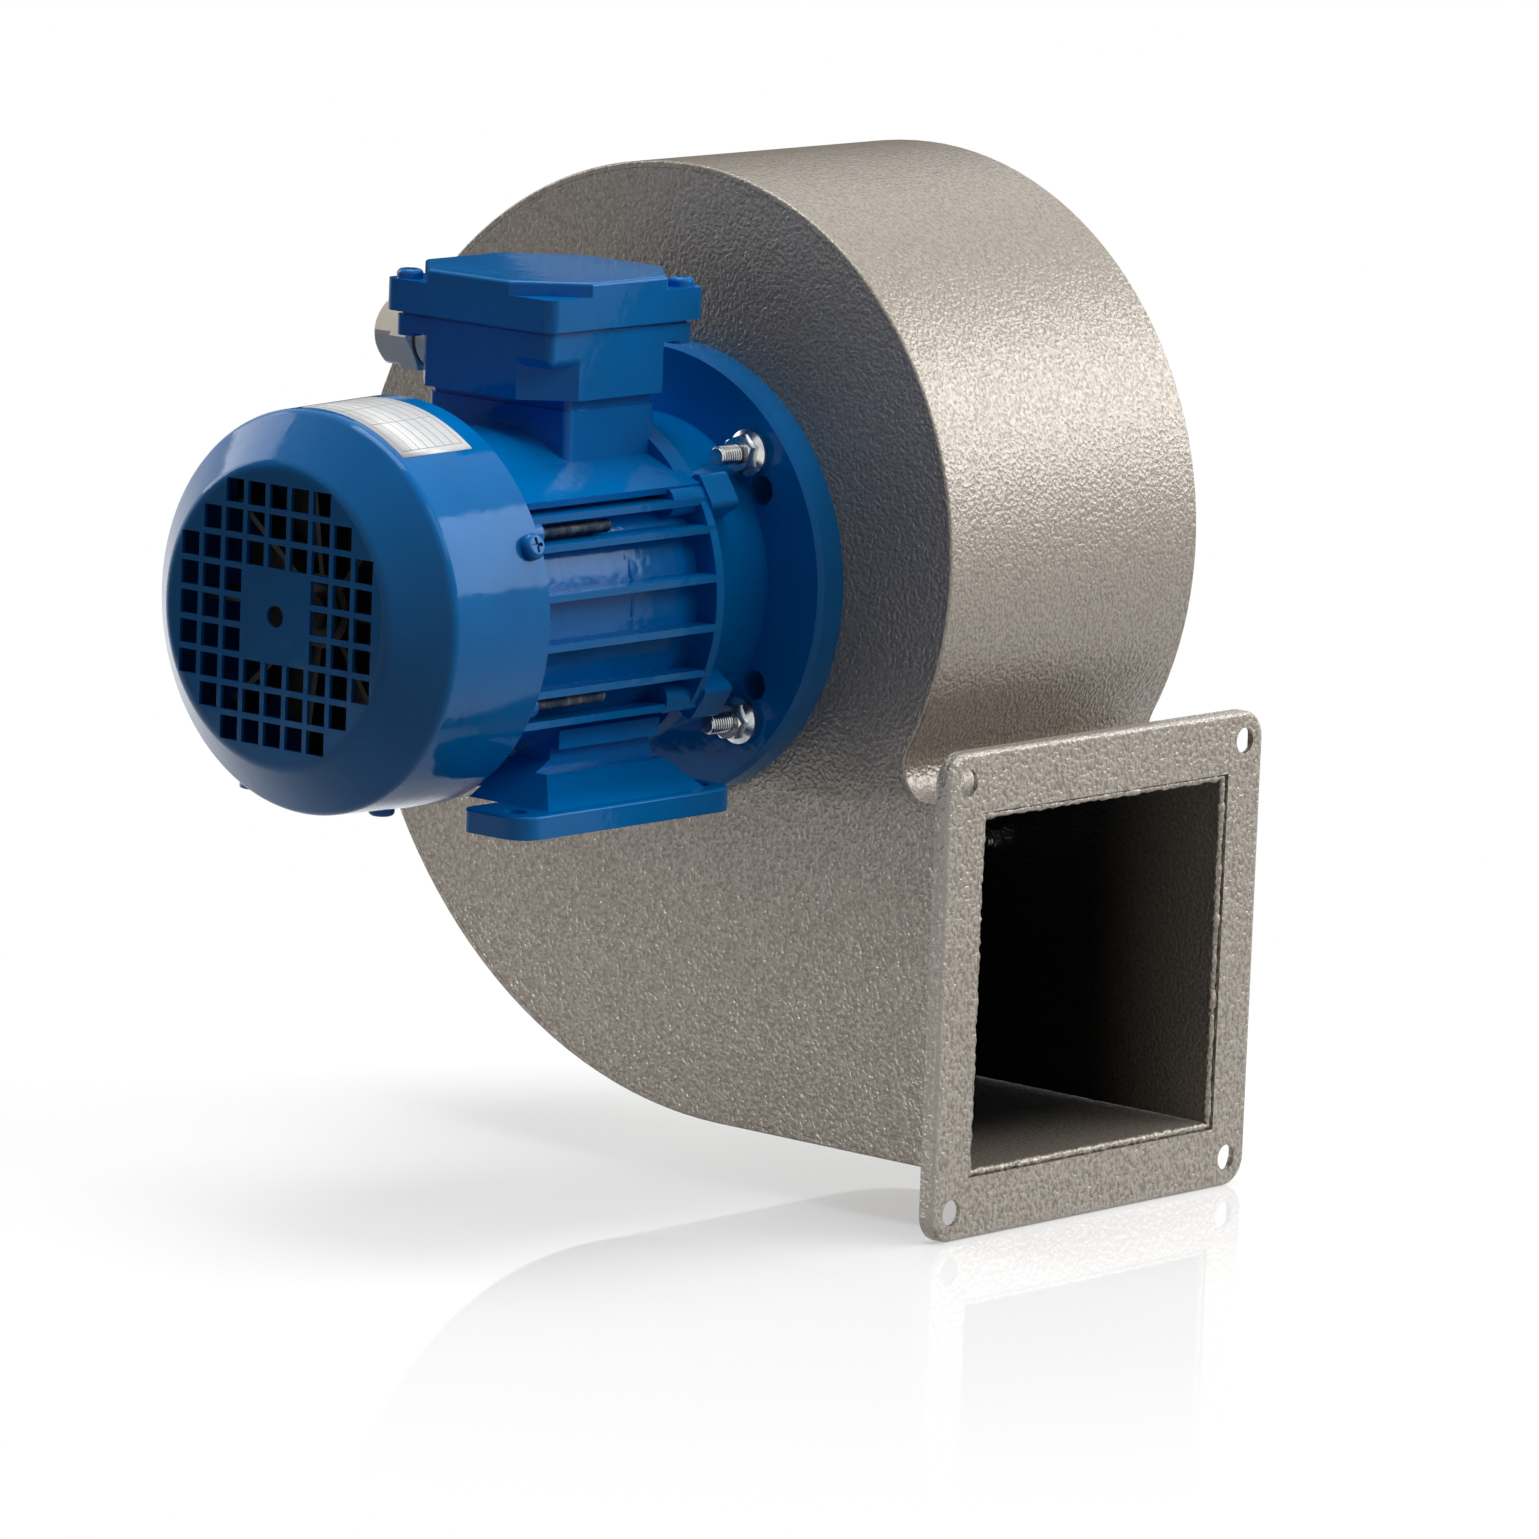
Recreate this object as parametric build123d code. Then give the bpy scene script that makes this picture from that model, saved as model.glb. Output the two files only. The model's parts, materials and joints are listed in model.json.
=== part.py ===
"""Direct-drive centrifugal fan: welded volute casing, forward-curved wheel, foot-and-flange motor.

Millimetres. Z is up, the shaft lies along Y with the motor behind the casing (towards -Y) and the
outlet faces +X. The origin is the middle of the motor's four foot holes, on the plane they stand on.
Every piece is drawn in the shaft frame: x across, y up from the shaft, z backwards from the face
where the motor flange meets the casing, so the casing lies at negative z and the motor at positive z.
"""
from build123d import *
import math
import os

# Fits between pieces
slide_fit = 0.1              # pieces that slide together by hand
press_gap = 0.03             # pieces pressed together
hole_play = 0.5              # clearance hole over its screw, in radius
thread_gap = 0.05            # tapped hole over its screw, in radius
overrun = 1.0                # how far a cutting solid runs past the piece

# Fasteners, standard metric sizes: shank radius, then across flats or head radius, then head height
m4_r, m4_head_r, m4_head_h = 2.0, 4.0, 2.8
m4_cap_r, m4_cap_h = 3.5, 4.0
m5_r, m5_hex, m5_hex_h, m5_nut_h = 2.5, 8.0, 3.5, 4.0
m5_cap_r, m5_cap_h = 4.25, 5.0
m6_r, m6_hex, m6_head_h, m6_nut_h = 3.0, 10.0, 4.0, 6.0
m6_cap_r, m6_cap_h = 5.0, 6.0
m6_washer_r = 6.0
m6_washer_t = 1.6
washer_play = 0.2            # washer bore over its screw, in radius
nut_flange_r = 7.1           # wide seat turned on the M6 nuts
nut_flange_t = 1.1
nut_flange_rise = 1.2        # slope from the seat's rim up to the hexagon
cap_play = 0.35              # counterbore over a cap screw's head, in radius
cross_length = 4.6           # cross recess in a pan head
cross_width = 1.0
cross_depth = 1.1

# Motor frame sizes, one standard foot-and-flange frame
shaft_height = 63.0          # feet plane to shaft axis
foot_pitch_x = 100.0         # foot holes across the shaft
foot_pitch_y = 80.0          # foot holes along the shaft
foot_setback = 40.0          # flange face to the nearer foot holes
foot_hole_d = 7.0
flange_d = 140.0
flange_t = 10.0
flange_edge_r = 1.5
flange_bolt_circle = 115.0
flange_bolt_length = 30.0
nut_turns = (-22, 10, 35, 48)  # how far each flange nut happens to be turned
spigot_d = 95.0
spigot_h = 3.0
shaft_d = 11.0
shaft_length = 23.0
key_w = 4.0
key_h = 4.0
key_length = 16.0
key_depth = 2.5              # keyway in the shaft

# Casing
sheet = 2.0
casing_width = 115.3
volute_r_start = 112.0       # first quarter, from the tongue to the top
volute_r_middle = 132.0      # second quarter, top to back
volute_r_end = 159.6         # third quarter, back to bottom
volute_rise = 11.3           # centre of the first arc above the shaft
tongue_r = 10.0
throat_drop = 57.8           # outer face of the duct's top wall, below the shaft
outlet_reach = 128.4         # shaft to the outlet face
seam_gap = 0.1               # side plate to wrap, closed by the seam weld
edge_round = 0.8

# Outlet flange, a pressed channel frame around the duct's end
outlet_side = 148.0
outlet_rim = 5.0
outlet_sheet = 1.5
outlet_corner_r = 9.0
outlet_hole_pitch = 130.0
outlet_hole_d = 8.0
outlet_recess = 2.0          # duct end behind the flange face

# Inlet ring
inlet_opening_r = 93.0
inlet_ring_r = 104.0
inlet_throat_r = 70.0
inlet_bell_r = 12.0
inlet_throat_length = 4.3
inlet_screw_circle_r = 98.5
inlet_screw_count = 8
inlet_screw_spare = 1.0      # screw end past its nut

# Wheel
wheel_r = 90.0
wheel_eye_r = 75.0
wheel_width = 84.0
wheel_setback = 14.0         # flange face to the back plate's motor side
wheel_sheet = 1.2
blade_count = 36
blade_t = 0.9
blade_inlet_angle = 65.0
blade_outlet_angle = 150.0
blade_rim_margin = 0.6       # blade tips inside the wheel's rim
hub_r = 15.0
hub_flange_r = 30.0
hub_flange_t = 5.0
hub_spigot_gap = 1.5         # hub to the motor's spigot face
hub_overhang = 1.0           # hub past the shaft's end
rivet_circle_r = 23.0
rivet_count = 6
rivet_r = 2.0
rivet_head_r = 3.5
rivet_head_h = 1.2
wheel_washer_r = 11.0
wheel_washer_t = 2.0
wheel_screw_hex = 7.0
wheel_screw_reach = 10.0     # wheel screw inside the shaft
shaft_tap_depth = 12.0

# Drive-end flange and bell
bell_neck_r = 48.6
bell_end_r = 52.0
bell_ring_r = 54.0
bell_ring_t = 4.0
bell_wall = 3.5
flange_web_t = 8.5
drive_hub_r = 21.0
seal_r = 11.0
seal_play = 0.3
shaft_play = 2.0
lug_length = 8.0             # screw lug ahead of the bell's ring
lug_half_width = 6.0
lug_inner = 8.0              # from the screw towards the shaft
lug_outer = 5.5
screw_engagement = 12.0

# Motor frame
frame_r = 50.3
frame_bore_r = 48.0
frame_start = 40.0
frame_end = 119.0
fin_r = 58.0
fin_t = 2.2
fin_heights = (29.6, 21.6, 7.4, -7.4, -21.6, -31.7)
fin_root = 1.5               # fins and ribs start this far inside the barrel
collar_t = 3.3               # end collar of the frame, which the fins run into
collar_r = 54.0
collar_half_height = 33.5
shoulder_inner = (25.0, 41.5)
shoulder_outer = (46.8, 34.4)
shoulder_t = 2.1
floor_fin_places = (-12.0, 0.0, 12.0)
floor_fin_reach = 56.0
screw_boss_r = 4.6
screw_boss_length = 14.0
shield_screw_r = 53.5
shield_screw_angle = 33.6
rear_screw_r = 54.0          # the rear shield's long screws run between the side fins
rear_screw_angle = 28.0
rear_screw_length = 45.0
rear_boss_r = 3.9
rear_boss_length = 6.0
register = 3.0               # end shield register inside the frame bore
register_wall = 2.5
pedestal_half_x = 28.4
pedestal_half_z = 19.9
pedestal_corner_r = 3.0
pedestal_root = 30.0         # height where the pedestal starts inside the barrel
pedestal_neck = 0.9           # how much narrower the neck under the box is, each side
pedestal_neck_h = 3.5
wire_way_half_x = 17.0
wire_way_half_z = 12.0

# Feet and the rails that carry them
foot_end_margin = 7.5        # hole centre to the foot's end
foot_outer_x = 60.0
foot_inner_x = 24.0
foot_t = 7.0
foot_corner_r = 8.0
foot_end_inner_x = 35.0      # the sole is narrower at its two ends
foot_end_corner_r = 4.0
foot_edge_r = 0.8
foot_joint_drop = 45.0       # shaft to the joint between rail and foot
foot_rail_top = 33.0
foot_rail_outer_x = 41.0
foot_slot = 3.4              # groove outside the joint
foot_seat_outer_x = 37.5
foot_web_top_x = 42.0
foot_web_base_x = 56.0
foot_web_start = 48.0
foot_web_end = 92.0
foot_web_flare_front = 5.0   # how much longer the web is at its base, towards the flange
foot_web_flare_rear = 20.0   # and towards the fan cover
foot_screw_x = 32.0
foot_screw_margin = 9.0      # web end to the foot screw
foot_screw_depth = 5.5
foot_screw_recess = 1.0

# Non-drive-end shield
cover_fit = 0.5
shield_rim_t = 10.0
shield_depth = 20.0
shield_wall = 3.0
rear_hub_r = 20.5

# Fan cover and cooling fan
cover_start = 119.6
cover_face = 171.8
cover_sheet = 1.2
cover_rim_r = 61.0
cover_shoulder_r = 59.8
cover_shoulder = 158.5
cover_disc_r = 44.5
cover_side_round = 4.0
cover_face_round = 5.0
grille_pitch = 8.78
grille_hole = 7.0
grille_side = 4              # rows each side of the middle row
grille_reach = 6             # squares counted out from the middle, across plus up
grille_solid = 1             # rows left solid round the middle
grille_centre_d = 6.6
cover_screw_z = 124.0
cover_screw_angles = (22.6, 157.4, 270.0)
cover_screw_length = 8.0
cover_screw_seat = 0.05
cooling_fan_r = 52.0
cooling_fan_start = 140.5
cooling_fan_width = 17.0
cooling_hub_r = 11.0
cooling_hub_length = 12.0
cooling_disc_r = 40.0
cooling_disc_t = 2.0
cooling_blades = 8
cooling_blade_t = 1.8
cooling_blade_trim = 10.0    # blade corner cut, in radius
cooling_blade_drop = 7.0     # blade corner cut, along the shaft
clip_t = 1.0
clip_wall = 2.5
shaft_tail_spare = 3.0

# Terminal box
box_centre = 60.0            # behind the flange face
box_floor_height = 60.0      # above the shaft
box_half = 31.6
box_chamfer = 13.2
box_wall = 2.5
box_corner_r = 2.5
box_rim_rise = 15.0          # floor to the underside of the square rim
box_rim_t = 5.2
box_corner_block = 16.0      # solid corners under the rim, at the corners without screws
box_corner_drop = 5.0
box_corner_round = 3.0
box_boss_r = 4.2
box_boss_drop = 1.0
box_wire_half_x = 12.0
box_wire_half_z = 9.0
gasket_t = 1.2
gasket_inset = 0.5
lid_half = 34.0
lid_corner_r = 3.5
lid_skirt_h = 9.6            # gasket to the lid's low corners
lid_crown_h = 4.3            # low corners to the lid's top
lid_chamfer = 17.6
lid_edge_round = 1.2
lid_screw_offset = 28.6
lid_screw_spare = 0.5
board_half_x = 19.0
board_half_z = 13.0
board_t = 7.0
board_rib_t = 2.0
board_rib_h = 4.0
stud_columns = (-12.0, 0.0, 12.0)
stud_rows = (-6.5, 6.5)
stud_reach = 8.0             # stud above its board
stud_seat = 1.0
stud_nut_hex = 7.0
stud_nut_h = 3.0

# Cable gland
gland_drop = 10.2            # gland's axis below the box's top
gland_thread_r = 8.0
gland_thread_reach = 4.0     # into the box
gland_collar_r = 10.0
gland_collar_length = 11.6
gland_seal_r = 9.7
gland_seal_t = 1.5
gland_hex = 21.0
gland_hex_length = 8.0
gland_nut_hex = 19.5
gland_nut_length = 9.1
gland_dome = 2.5             # height and depth of the nut's rounded mouth
gland_mouth_r = 6.5
gland_cable_r = 4.5
gland_insert_recess = 1.0

# Motor inside
rotor_r = 26.7
air_gap = 0.3
stack_start = 56.0
stack_end = 112.0
winding_length = 10.0
winding_outer_r = 43.0
winding_inner_r = 30.0
core_bore_r = 9.0
shaft_shoulder_r = 8.0
end_ring_r = 24.0
end_ring_inner_r = 12.0
end_ring_t = 5.0

# Bearings, standard deep-groove size
bearing_r = 16.0
bearing_bore_r = 6.0
bearing_width = 10.0
bearing_pitch_r = 11.0
race_gap = 1.7               # pitch circle to each race
ball_r = 2.4
ball_count = 7
ball_gap = 0.15
cage_half_t = 0.8
cage_half_width = 3.2
cage_play = 0.1
drive_bearing_start = 5.0
rear_bearing_start = 122.0
spring_t = 1.5
spring_wall = 3.0

# Places worked out from the sizes above
box_rim_height = box_floor_height + box_rim_rise
box_top_height = box_rim_height + box_rim_t
lid_ear_height = box_top_height + gasket_t + lid_skirt_h
lid_top_height = lid_ear_height + lid_crown_h
gland_height = box_top_height - gland_drop
flange_y = foot_setback + foot_pitch_y / 2
SHAFT = Plane(origin=(0, flange_y, shaft_height), x_dir=(1, 0, 0), z_dir=(0, -1, 0))
BOX = Plane(origin=(0, 0, box_centre), x_dir=(1, 0, 0), z_dir=(0, 1, 0))
GLAND = Plane(origin=(-box_half, gland_height, box_centre), x_dir=(0, 0, 1), z_dir=(-1, 0, 0))
duct_end = outlet_reach - outlet_recess
inlet_face = -casing_width
ring_face = inlet_face - sheet
drive_bearing_end = drive_bearing_start + bearing_width
rear_bearing_end = rear_bearing_start + bearing_width
rear_wall = rear_bearing_end + spring_t
bell_end = frame_start - bell_ring_t
lug_start = bell_end - lug_length
shield_r = cover_rim_r - cover_sheet - cover_fit
shield_rim_end = frame_end + shield_rim_t
shield_end = frame_end + shield_depth
cooling_hub_end = cooling_fan_start + cooling_hub_length
shaft_tail = cooling_hub_end + clip_t + shaft_tail_spare
key_bed = shaft_d / 2 - key_depth
key_start = -shaft_length + 2
hub_face = -shaft_length - hub_overhang
back_z = -wheel_setback
front_z = back_z - wheel_width
blade_back = back_z - wheel_sheet

pieces = {}


# Drawing helpers
def add(name, *solids):
    """Keeps one named piece, or a group of like pieces, set into the object's frame."""
    group = []
    for solid in solids:
        group.extend(solid.solids())
    pieces[name] = [SHAFT * solid for solid in group]


def prism(face, z0, z1):
    """A flat face raised along the shaft direction."""
    return Pos(0, 0, z0) * extrude(face, z1 - z0, dir=(0, 0, 1))


def rod(radius, z0, z1):
    """A round bar along the shaft direction."""
    return prism(Circle(radius), z0, z1)


def block(x0, x1, y0, y1, z0, z1):
    """A box between two corners."""
    return Pos((x0 + x1) / 2, (y0 + y1) / 2, (z0 + z1) / 2) * Box(x1 - x0, y1 - y0, z1 - z0)


def spun(face):
    """A solid of revolution about the shaft from a flat face drawn as (radius, z)."""
    return revolve(Plane.XZ * face, Axis.Z)


def turned(*profile):
    """A solid of revolution with straight edges, from (radius, z) corners."""
    return spun(make_face(Polyline(*profile, close=True)))


def ring(outer, inner, z0, z1):
    """A plain ring between two radii and two places along the shaft."""
    return turned((inner, z0), (outer, z0), (outer, z1), (inner, z1))


def hexagon(across, z0, z1):
    """A hexagonal bar with its outer corners turned down, as on a nut or bolt head."""
    bar = prism(RegularPolygon(across / 2, 6, major_radius=False), z0, z1)
    corner = across / math.sqrt(3)
    cut = (corner - across / 2) * 0.9
    rise = cut * 0.6
    turned_down = turned((0, z0), (corner - cut, z0), (corner, z0 + rise), (corner, z1 - rise),
                         (corner - cut, z1), (0, z1))
    return bar & turned_down


def around(count, radius, first=0.0):
    """Places on a circle about the shaft, each turned to face outwards."""
    step = 360.0 / count
    return [Rot(0, 0, first + i * step) * Pos(radius, 0, 0) for i in range(count)]


def both_sides(solid):
    """A solid and its mirror image on the other side of the shaft."""
    return [solid, mirror(solid, Plane.YZ)]


def upright(radius, length):
    """A round bar standing up, centred on its middle."""
    return Cylinder(radius, length, rotation=(90, 0, 0))


def radial(radius, length):
    """A round bar pointing away from the shaft, centred on its middle."""
    return Cylinder(radius, length, rotation=(0, 90, 0))


def slab(face, y0, y1):
    """A face drawn in plan over the terminal box's centre, raised between two heights over the shaft."""
    return BOX * Pos(0, 0, y0) * extrude(face, y1 - y0)


# Screws and bolts, drawn along the shaft direction from the seat to the tip
def hex_screw(across, head_h, radius, seat, tip):
    """A hexagon-head screw, its head on the far side of the seat from its tip."""
    if tip > seat:
        return hexagon(across, seat - head_h, seat) + rod(radius, seat, tip)
    return hexagon(across, seat, seat + head_h) + rod(radius, tip, seat)


def cap_screw(head_r, head_h, radius, seat, tip):
    """A cylinder-head screw with a hexagon socket."""
    outward = -1 if tip > seat else 1
    end = seat + outward * head_h
    head = rod(head_r, min(seat, end), max(seat, end))
    floor = end - outward * head_h / 2
    socket = prism(RegularPolygon(radius, 6), min(floor, end + outward), max(floor, end + outward))
    return head - socket + rod(radius, min(seat, tip), max(seat, tip))


def pan_screw(length):
    """A pan-head M4 screw with a cross recess, its head standing on z = 0 and its shank below."""
    head = prism(Circle(m4_head_r), 0, m4_head_h)
    head = fillet(head.edges().sort_by(Axis.Z)[-1], m4_head_h * 0.55)
    floor = m4_head_h - cross_depth
    half_length, half_width = cross_length / 2, cross_width / 2
    bar = block(-half_length, half_length, -half_width, half_width, floor, m4_head_h + overrun)
    return head + rod(m4_r, -length, 0) - bar - Rot(0, 0, 90) * bar


# Casing
def volute(inset, reach):
    """The casing's outline seen along the shaft, moved in by inset and closed at reach."""
    centre_1 = (0, volute_rise)
    centre_2 = (0, volute_rise - (volute_r_middle - volute_r_start))
    centre_3 = (volute_r_end - volute_r_middle, centre_2[1])
    tongue_y = -throat_drop + tongue_r
    span = volute_r_start + tongue_r
    tongue_x = math.sqrt(span ** 2 - (tongue_y - volute_rise) ** 2)
    turn = math.degrees(math.asin((tongue_y - volute_rise) / span))
    top = -throat_drop - inset
    bottom = volute_bottom() + inset
    wrap = [
        Line((reach, top), (tongue_x, top)),
        CenterArc((tongue_x, tongue_y), tongue_r + inset, 270, turn - 90),
        CenterArc(centre_1, volute_r_start - inset, turn, 90 - turn),
        CenterArc(centre_2, volute_r_middle - inset, 90, 90),
        CenterArc(centre_3, volute_r_end - inset, 180, 90),
        Line((centre_3[0], bottom), (reach, bottom)),
        Line((reach, bottom), (reach, top)),
    ]
    return make_face(wrap)


def volute_bottom():
    """Height of the duct's lower outer face, from the shaft."""
    return volute_rise - (volute_r_middle - volute_r_start) - volute_r_end


def scroll_wrap():
    """The strip bent round the volute and out along the duct's top and bottom walls."""
    outer = prism(volute(0, duct_end), -casing_width, 0)
    rims = outer.edges().filter_by(Plane.XY).filter_by(lambda edge: edge.center().X < duct_end - slide_fit)
    outer = fillet(rims, edge_round)
    return outer - prism(volute(sheet, duct_end + overrun), -casing_width - overrun, overrun)


def side_plate(z0):
    """A flat casing side let into the wrap."""
    return prism(volute(sheet + seam_gap, duct_end), z0, z0 + sheet)


def motor_side_plate():
    """The side that carries the motor, with a round opening for its spigot and four bolt holes."""
    plate = side_plate(-sheet) - rod(spigot_d / 2 + slide_fit, -sheet - overrun, overrun)
    return plate - [place * rod(m6_r + hole_play, -sheet - overrun, overrun) for place in flange_bolts]


def inlet_side_plate():
    """The other side, open wide enough to take the wheel in, with holes for the inlet ring's screws."""
    low = inlet_face - overrun
    high = inlet_face + sheet + overrun
    plate = side_plate(inlet_face) - rod(inlet_opening_r, low, high)
    return plate - [place * rod(m5_r + hole_play, low, high) for place in inlet_screws]


def inlet_ring():
    """Flat flange outside the casing, spun inwards to a quarter-round bell and a short throat."""
    bell_r = inlet_throat_r + inlet_bell_r
    bell_bottom = ring_face + inlet_bell_r
    lip = bell_bottom + inlet_throat_length
    profile = [
        Line((inlet_ring_r, inlet_face), (inlet_ring_r, ring_face)),
        Line((inlet_ring_r, ring_face), (bell_r, ring_face)),
        CenterArc((bell_r, bell_bottom), inlet_bell_r, 270, -90),
        Line((inlet_throat_r, bell_bottom), (inlet_throat_r, lip)),
        Line((inlet_throat_r, lip), (inlet_throat_r + sheet, lip)),
        Line((inlet_throat_r + sheet, lip), (inlet_throat_r + sheet, bell_bottom)),
        CenterArc((bell_r, bell_bottom), inlet_bell_r - sheet, 180, 90),
        Line((bell_r, inlet_face), (inlet_ring_r, inlet_face)),
    ]
    holes = [place * rod(m5_r + hole_play, ring_face - overrun, inlet_face + overrun) for place in inlet_screws]
    return spun(make_face(profile)) - holes


flange_bolts = around(4, flange_bolt_circle / 2, 45)
inlet_screws = around(inlet_screw_count, inlet_screw_circle_r, 180 / inlet_screw_count)
add("scroll_wrap", scroll_wrap())
add("motor_side_plate", motor_side_plate())
add("inlet_side_plate", inlet_side_plate())
add("inlet_ring", inlet_ring())

inlet_nut_start = inlet_face + sheet
inlet_nut_end = inlet_nut_start + m5_nut_h
inlet_screw = hex_screw(m5_hex, m5_hex_h, m5_r, ring_face, inlet_nut_end + inlet_screw_spare)
inlet_nut = hexagon(m5_hex, inlet_nut_start, inlet_nut_end)
inlet_nut -= rod(m5_r + thread_gap, inlet_nut_start - overrun, inlet_nut_end + overrun)
add("inlet_ring_screws", *[place * inlet_screw for place in inlet_screws])
add("inlet_weld_nuts", *[place * inlet_nut for place in inlet_screws])


# Outlet flange, drawn in its own frame: x along the shaft, y up, z outwards
def outlet_flange():
    """A square sheet frame with its outer rim and its opening's edge both turned back."""
    duct_height = -throat_drop - volute_bottom()
    open_x = casing_width + 2 * slide_fit
    open_y = duct_height + 2 * slide_fit
    body = extrude(RectangleRounded(outlet_side, outlet_side, outlet_corner_r), -outlet_rim)
    body = fillet(body.faces().sort_by(Axis.Z)[-1].edges(), outlet_sheet)
    inner_side = outlet_side - 2 * outlet_sheet
    channel = RectangleRounded(inner_side, inner_side, outlet_corner_r - outlet_sheet)
    channel -= Rectangle(open_x + 2 * outlet_sheet, open_y + 2 * outlet_sheet)
    body -= Pos(0, 0, -outlet_sheet) * extrude(channel, -outlet_rim)
    body -= Pos(0, 0, overrun) * extrude(Rectangle(open_x, open_y), -outlet_rim - 2 * overrun)
    holes = GridLocations(outlet_hole_pitch, outlet_hole_pitch, 2, 2)
    return body - [spot * Cylinder(outlet_hole_d / 2, 4 * outlet_rim) for spot in holes]


duct_mid_y = (volute_bottom() - throat_drop) / 2
OUTLET = Plane(origin=(outlet_reach, duct_mid_y, -casing_width / 2), x_dir=(0, 0, -1), z_dir=(1, 0, 0))
add("outlet_flange", OUTLET * outlet_flange())

# Motor flange fasteners: heads and washers inside the casing, washers and nuts on the motor's side
head_seat = -sheet - m6_washer_t
nut_seat = flange_t + m6_washer_t
nut_end = nut_seat + m6_nut_h
washer_bore_r = m6_r + washer_play
inner_washer = ring(m6_washer_r, washer_bore_r, head_seat, -sheet)
outer_washer = ring(m6_washer_r, washer_bore_r, flange_t, nut_seat)
flange_bolt = hex_screw(m6_hex, m6_head_h, m6_r, head_seat, head_seat + flange_bolt_length)
nut_rim = nut_seat + nut_flange_t
nut_seat_disc = turned((0, nut_seat), (nut_flange_r, nut_seat), (nut_flange_r, nut_rim),
                       (m6_hex / 2, nut_rim + nut_flange_rise), (0, nut_rim + nut_flange_rise))
flange_nut = hexagon(m6_hex, nut_seat, nut_end) + nut_seat_disc
flange_nut -= rod(m6_r + thread_gap, nut_seat - overrun, nut_end + overrun)
add("flange_bolts", *[place * flange_bolt for place in flange_bolts])
add("flange_washers", *[place * washer for place in flange_bolts for washer in (inner_washer, outer_washer)])
add("flange_nuts", *[place * Rot(0, 0, turn) * flange_nut for place, turn in zip(flange_bolts, nut_turns)])


# Motor shell
def four_places(radius, angle):
    """Four screw places on a circle about the shaft, at one angle above and below the horizontal."""
    return [Rot(0, 0, turn) * Pos(radius, 0, 0) for turn in (angle, -angle, 180 - angle, 180 + angle)]


shield_screws = four_places(shield_screw_r, shield_screw_angle)
rear_screws = four_places(rear_screw_r, rear_screw_angle)
counterbore_r = m5_cap_r + cap_play
drive_screw_seat = lug_start + m5_cap_h + 1.0
rear_screw_seat = cover_screw_z + m4_r + hole_play


def drive_end_flange():
    """Flange and bell cast in one, with spigot, bearing seat, seal seat and screw lugs."""
    bearing_seat_r = bearing_r + press_gap
    seal_seat_r = seal_r + press_gap
    opening_r = bearing_bore_r + shaft_play
    register_r = frame_bore_r - slide_fit
    body = turned(
        (seal_seat_r, -spigot_h), (spigot_d / 2, -spigot_h), (spigot_d / 2, 0), (flange_d / 2, 0),
        (flange_d / 2, flange_t - flange_edge_r), (flange_d / 2 - flange_edge_r, flange_t),
        (bell_neck_r, flange_t), (bell_end_r, bell_end), (bell_ring_r, bell_end), (bell_ring_r, frame_start),
        (register_r, frame_start), (register_r, frame_start + register),
        (frame_bore_r - register_wall, frame_start + register), (bell_neck_r - 1.2 * bell_wall, flange_web_t),
        (drive_hub_r, flange_web_t), (drive_hub_r - 1, drive_bearing_end + 1),
        (bearing_seat_r, drive_bearing_end + 1), (bearing_seat_r, drive_bearing_start),
        (opening_r, drive_bearing_start), (opening_r, spigot_h), (seal_seat_r, spigot_h))
    lug = block(-lug_inner, lug_outer, -lug_half_width, lug_half_width, lug_start, frame_start)
    lug = fillet(lug.edges().filter_by(Axis.Z).sort_by(Axis.X)[-2:], 2)
    inside = rod(frame_bore_r - register_wall, 0, frame_start + overrun)
    for place in shield_screws:
        body += place * lug - inside
        body -= place * rod(m5_r + hole_play, 0, frame_start + overrun)
        body -= place * rod(counterbore_r, 0, drive_screw_seat)
    return body - [place * rod(m6_r + hole_play, -overrun, flange_t + overrun) for place in flange_bolts]


def fin_pair(height):
    """Two horizontal cooling fins at one height, left and right."""
    tip = math.sqrt(fin_r ** 2 - height ** 2)
    root = math.sqrt(frame_r ** 2 - height ** 2) - fin_root
    return both_sides(block(root, tip, height - fin_t / 2, height + fin_t / 2, frame_start, frame_end))


def frame_collar():
    """The ring at the frame's drive end, taller where the fins meet it."""
    end = frame_start + collar_t
    band = block(-fin_r, fin_r, -collar_half_height, collar_half_height, frame_start, end)
    return rod(collar_r, frame_start, end) + (rod(fin_r, frame_start, end) & band)


def frame_shoulder():
    """The sloping plate from the pedestal's foot out over the top fin."""
    inner_x, inner_y = shoulder_inner
    outer_x, outer_y = shoulder_outer
    outline = Polyline((inner_x, inner_y), (pedestal_half_x, inner_y), (outer_x, outer_y),
                       (outer_x - 0.4 * shoulder_t, outer_y - shoulder_t),
                       (inner_x, inner_y - shoulder_t), close=True)
    return prism(make_face(outline), frame_start, frame_end)


def foot_rail():
    """The thick rib under the barrel that a foot is screwed to, grooved outside the joint."""
    groove_top = foot_joint_drop - foot_slot
    outline = Polyline((foot_inner_x, -foot_rail_top), (foot_rail_outer_x, -foot_rail_top - 3),
                       (foot_rail_outer_x, -groove_top), (foot_seat_outer_x, -groove_top),
                       (foot_seat_outer_x, -foot_joint_drop), (foot_inner_x, -foot_joint_drop), close=True)
    return prism(make_face(outline), foot_web_start, foot_web_end)


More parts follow.
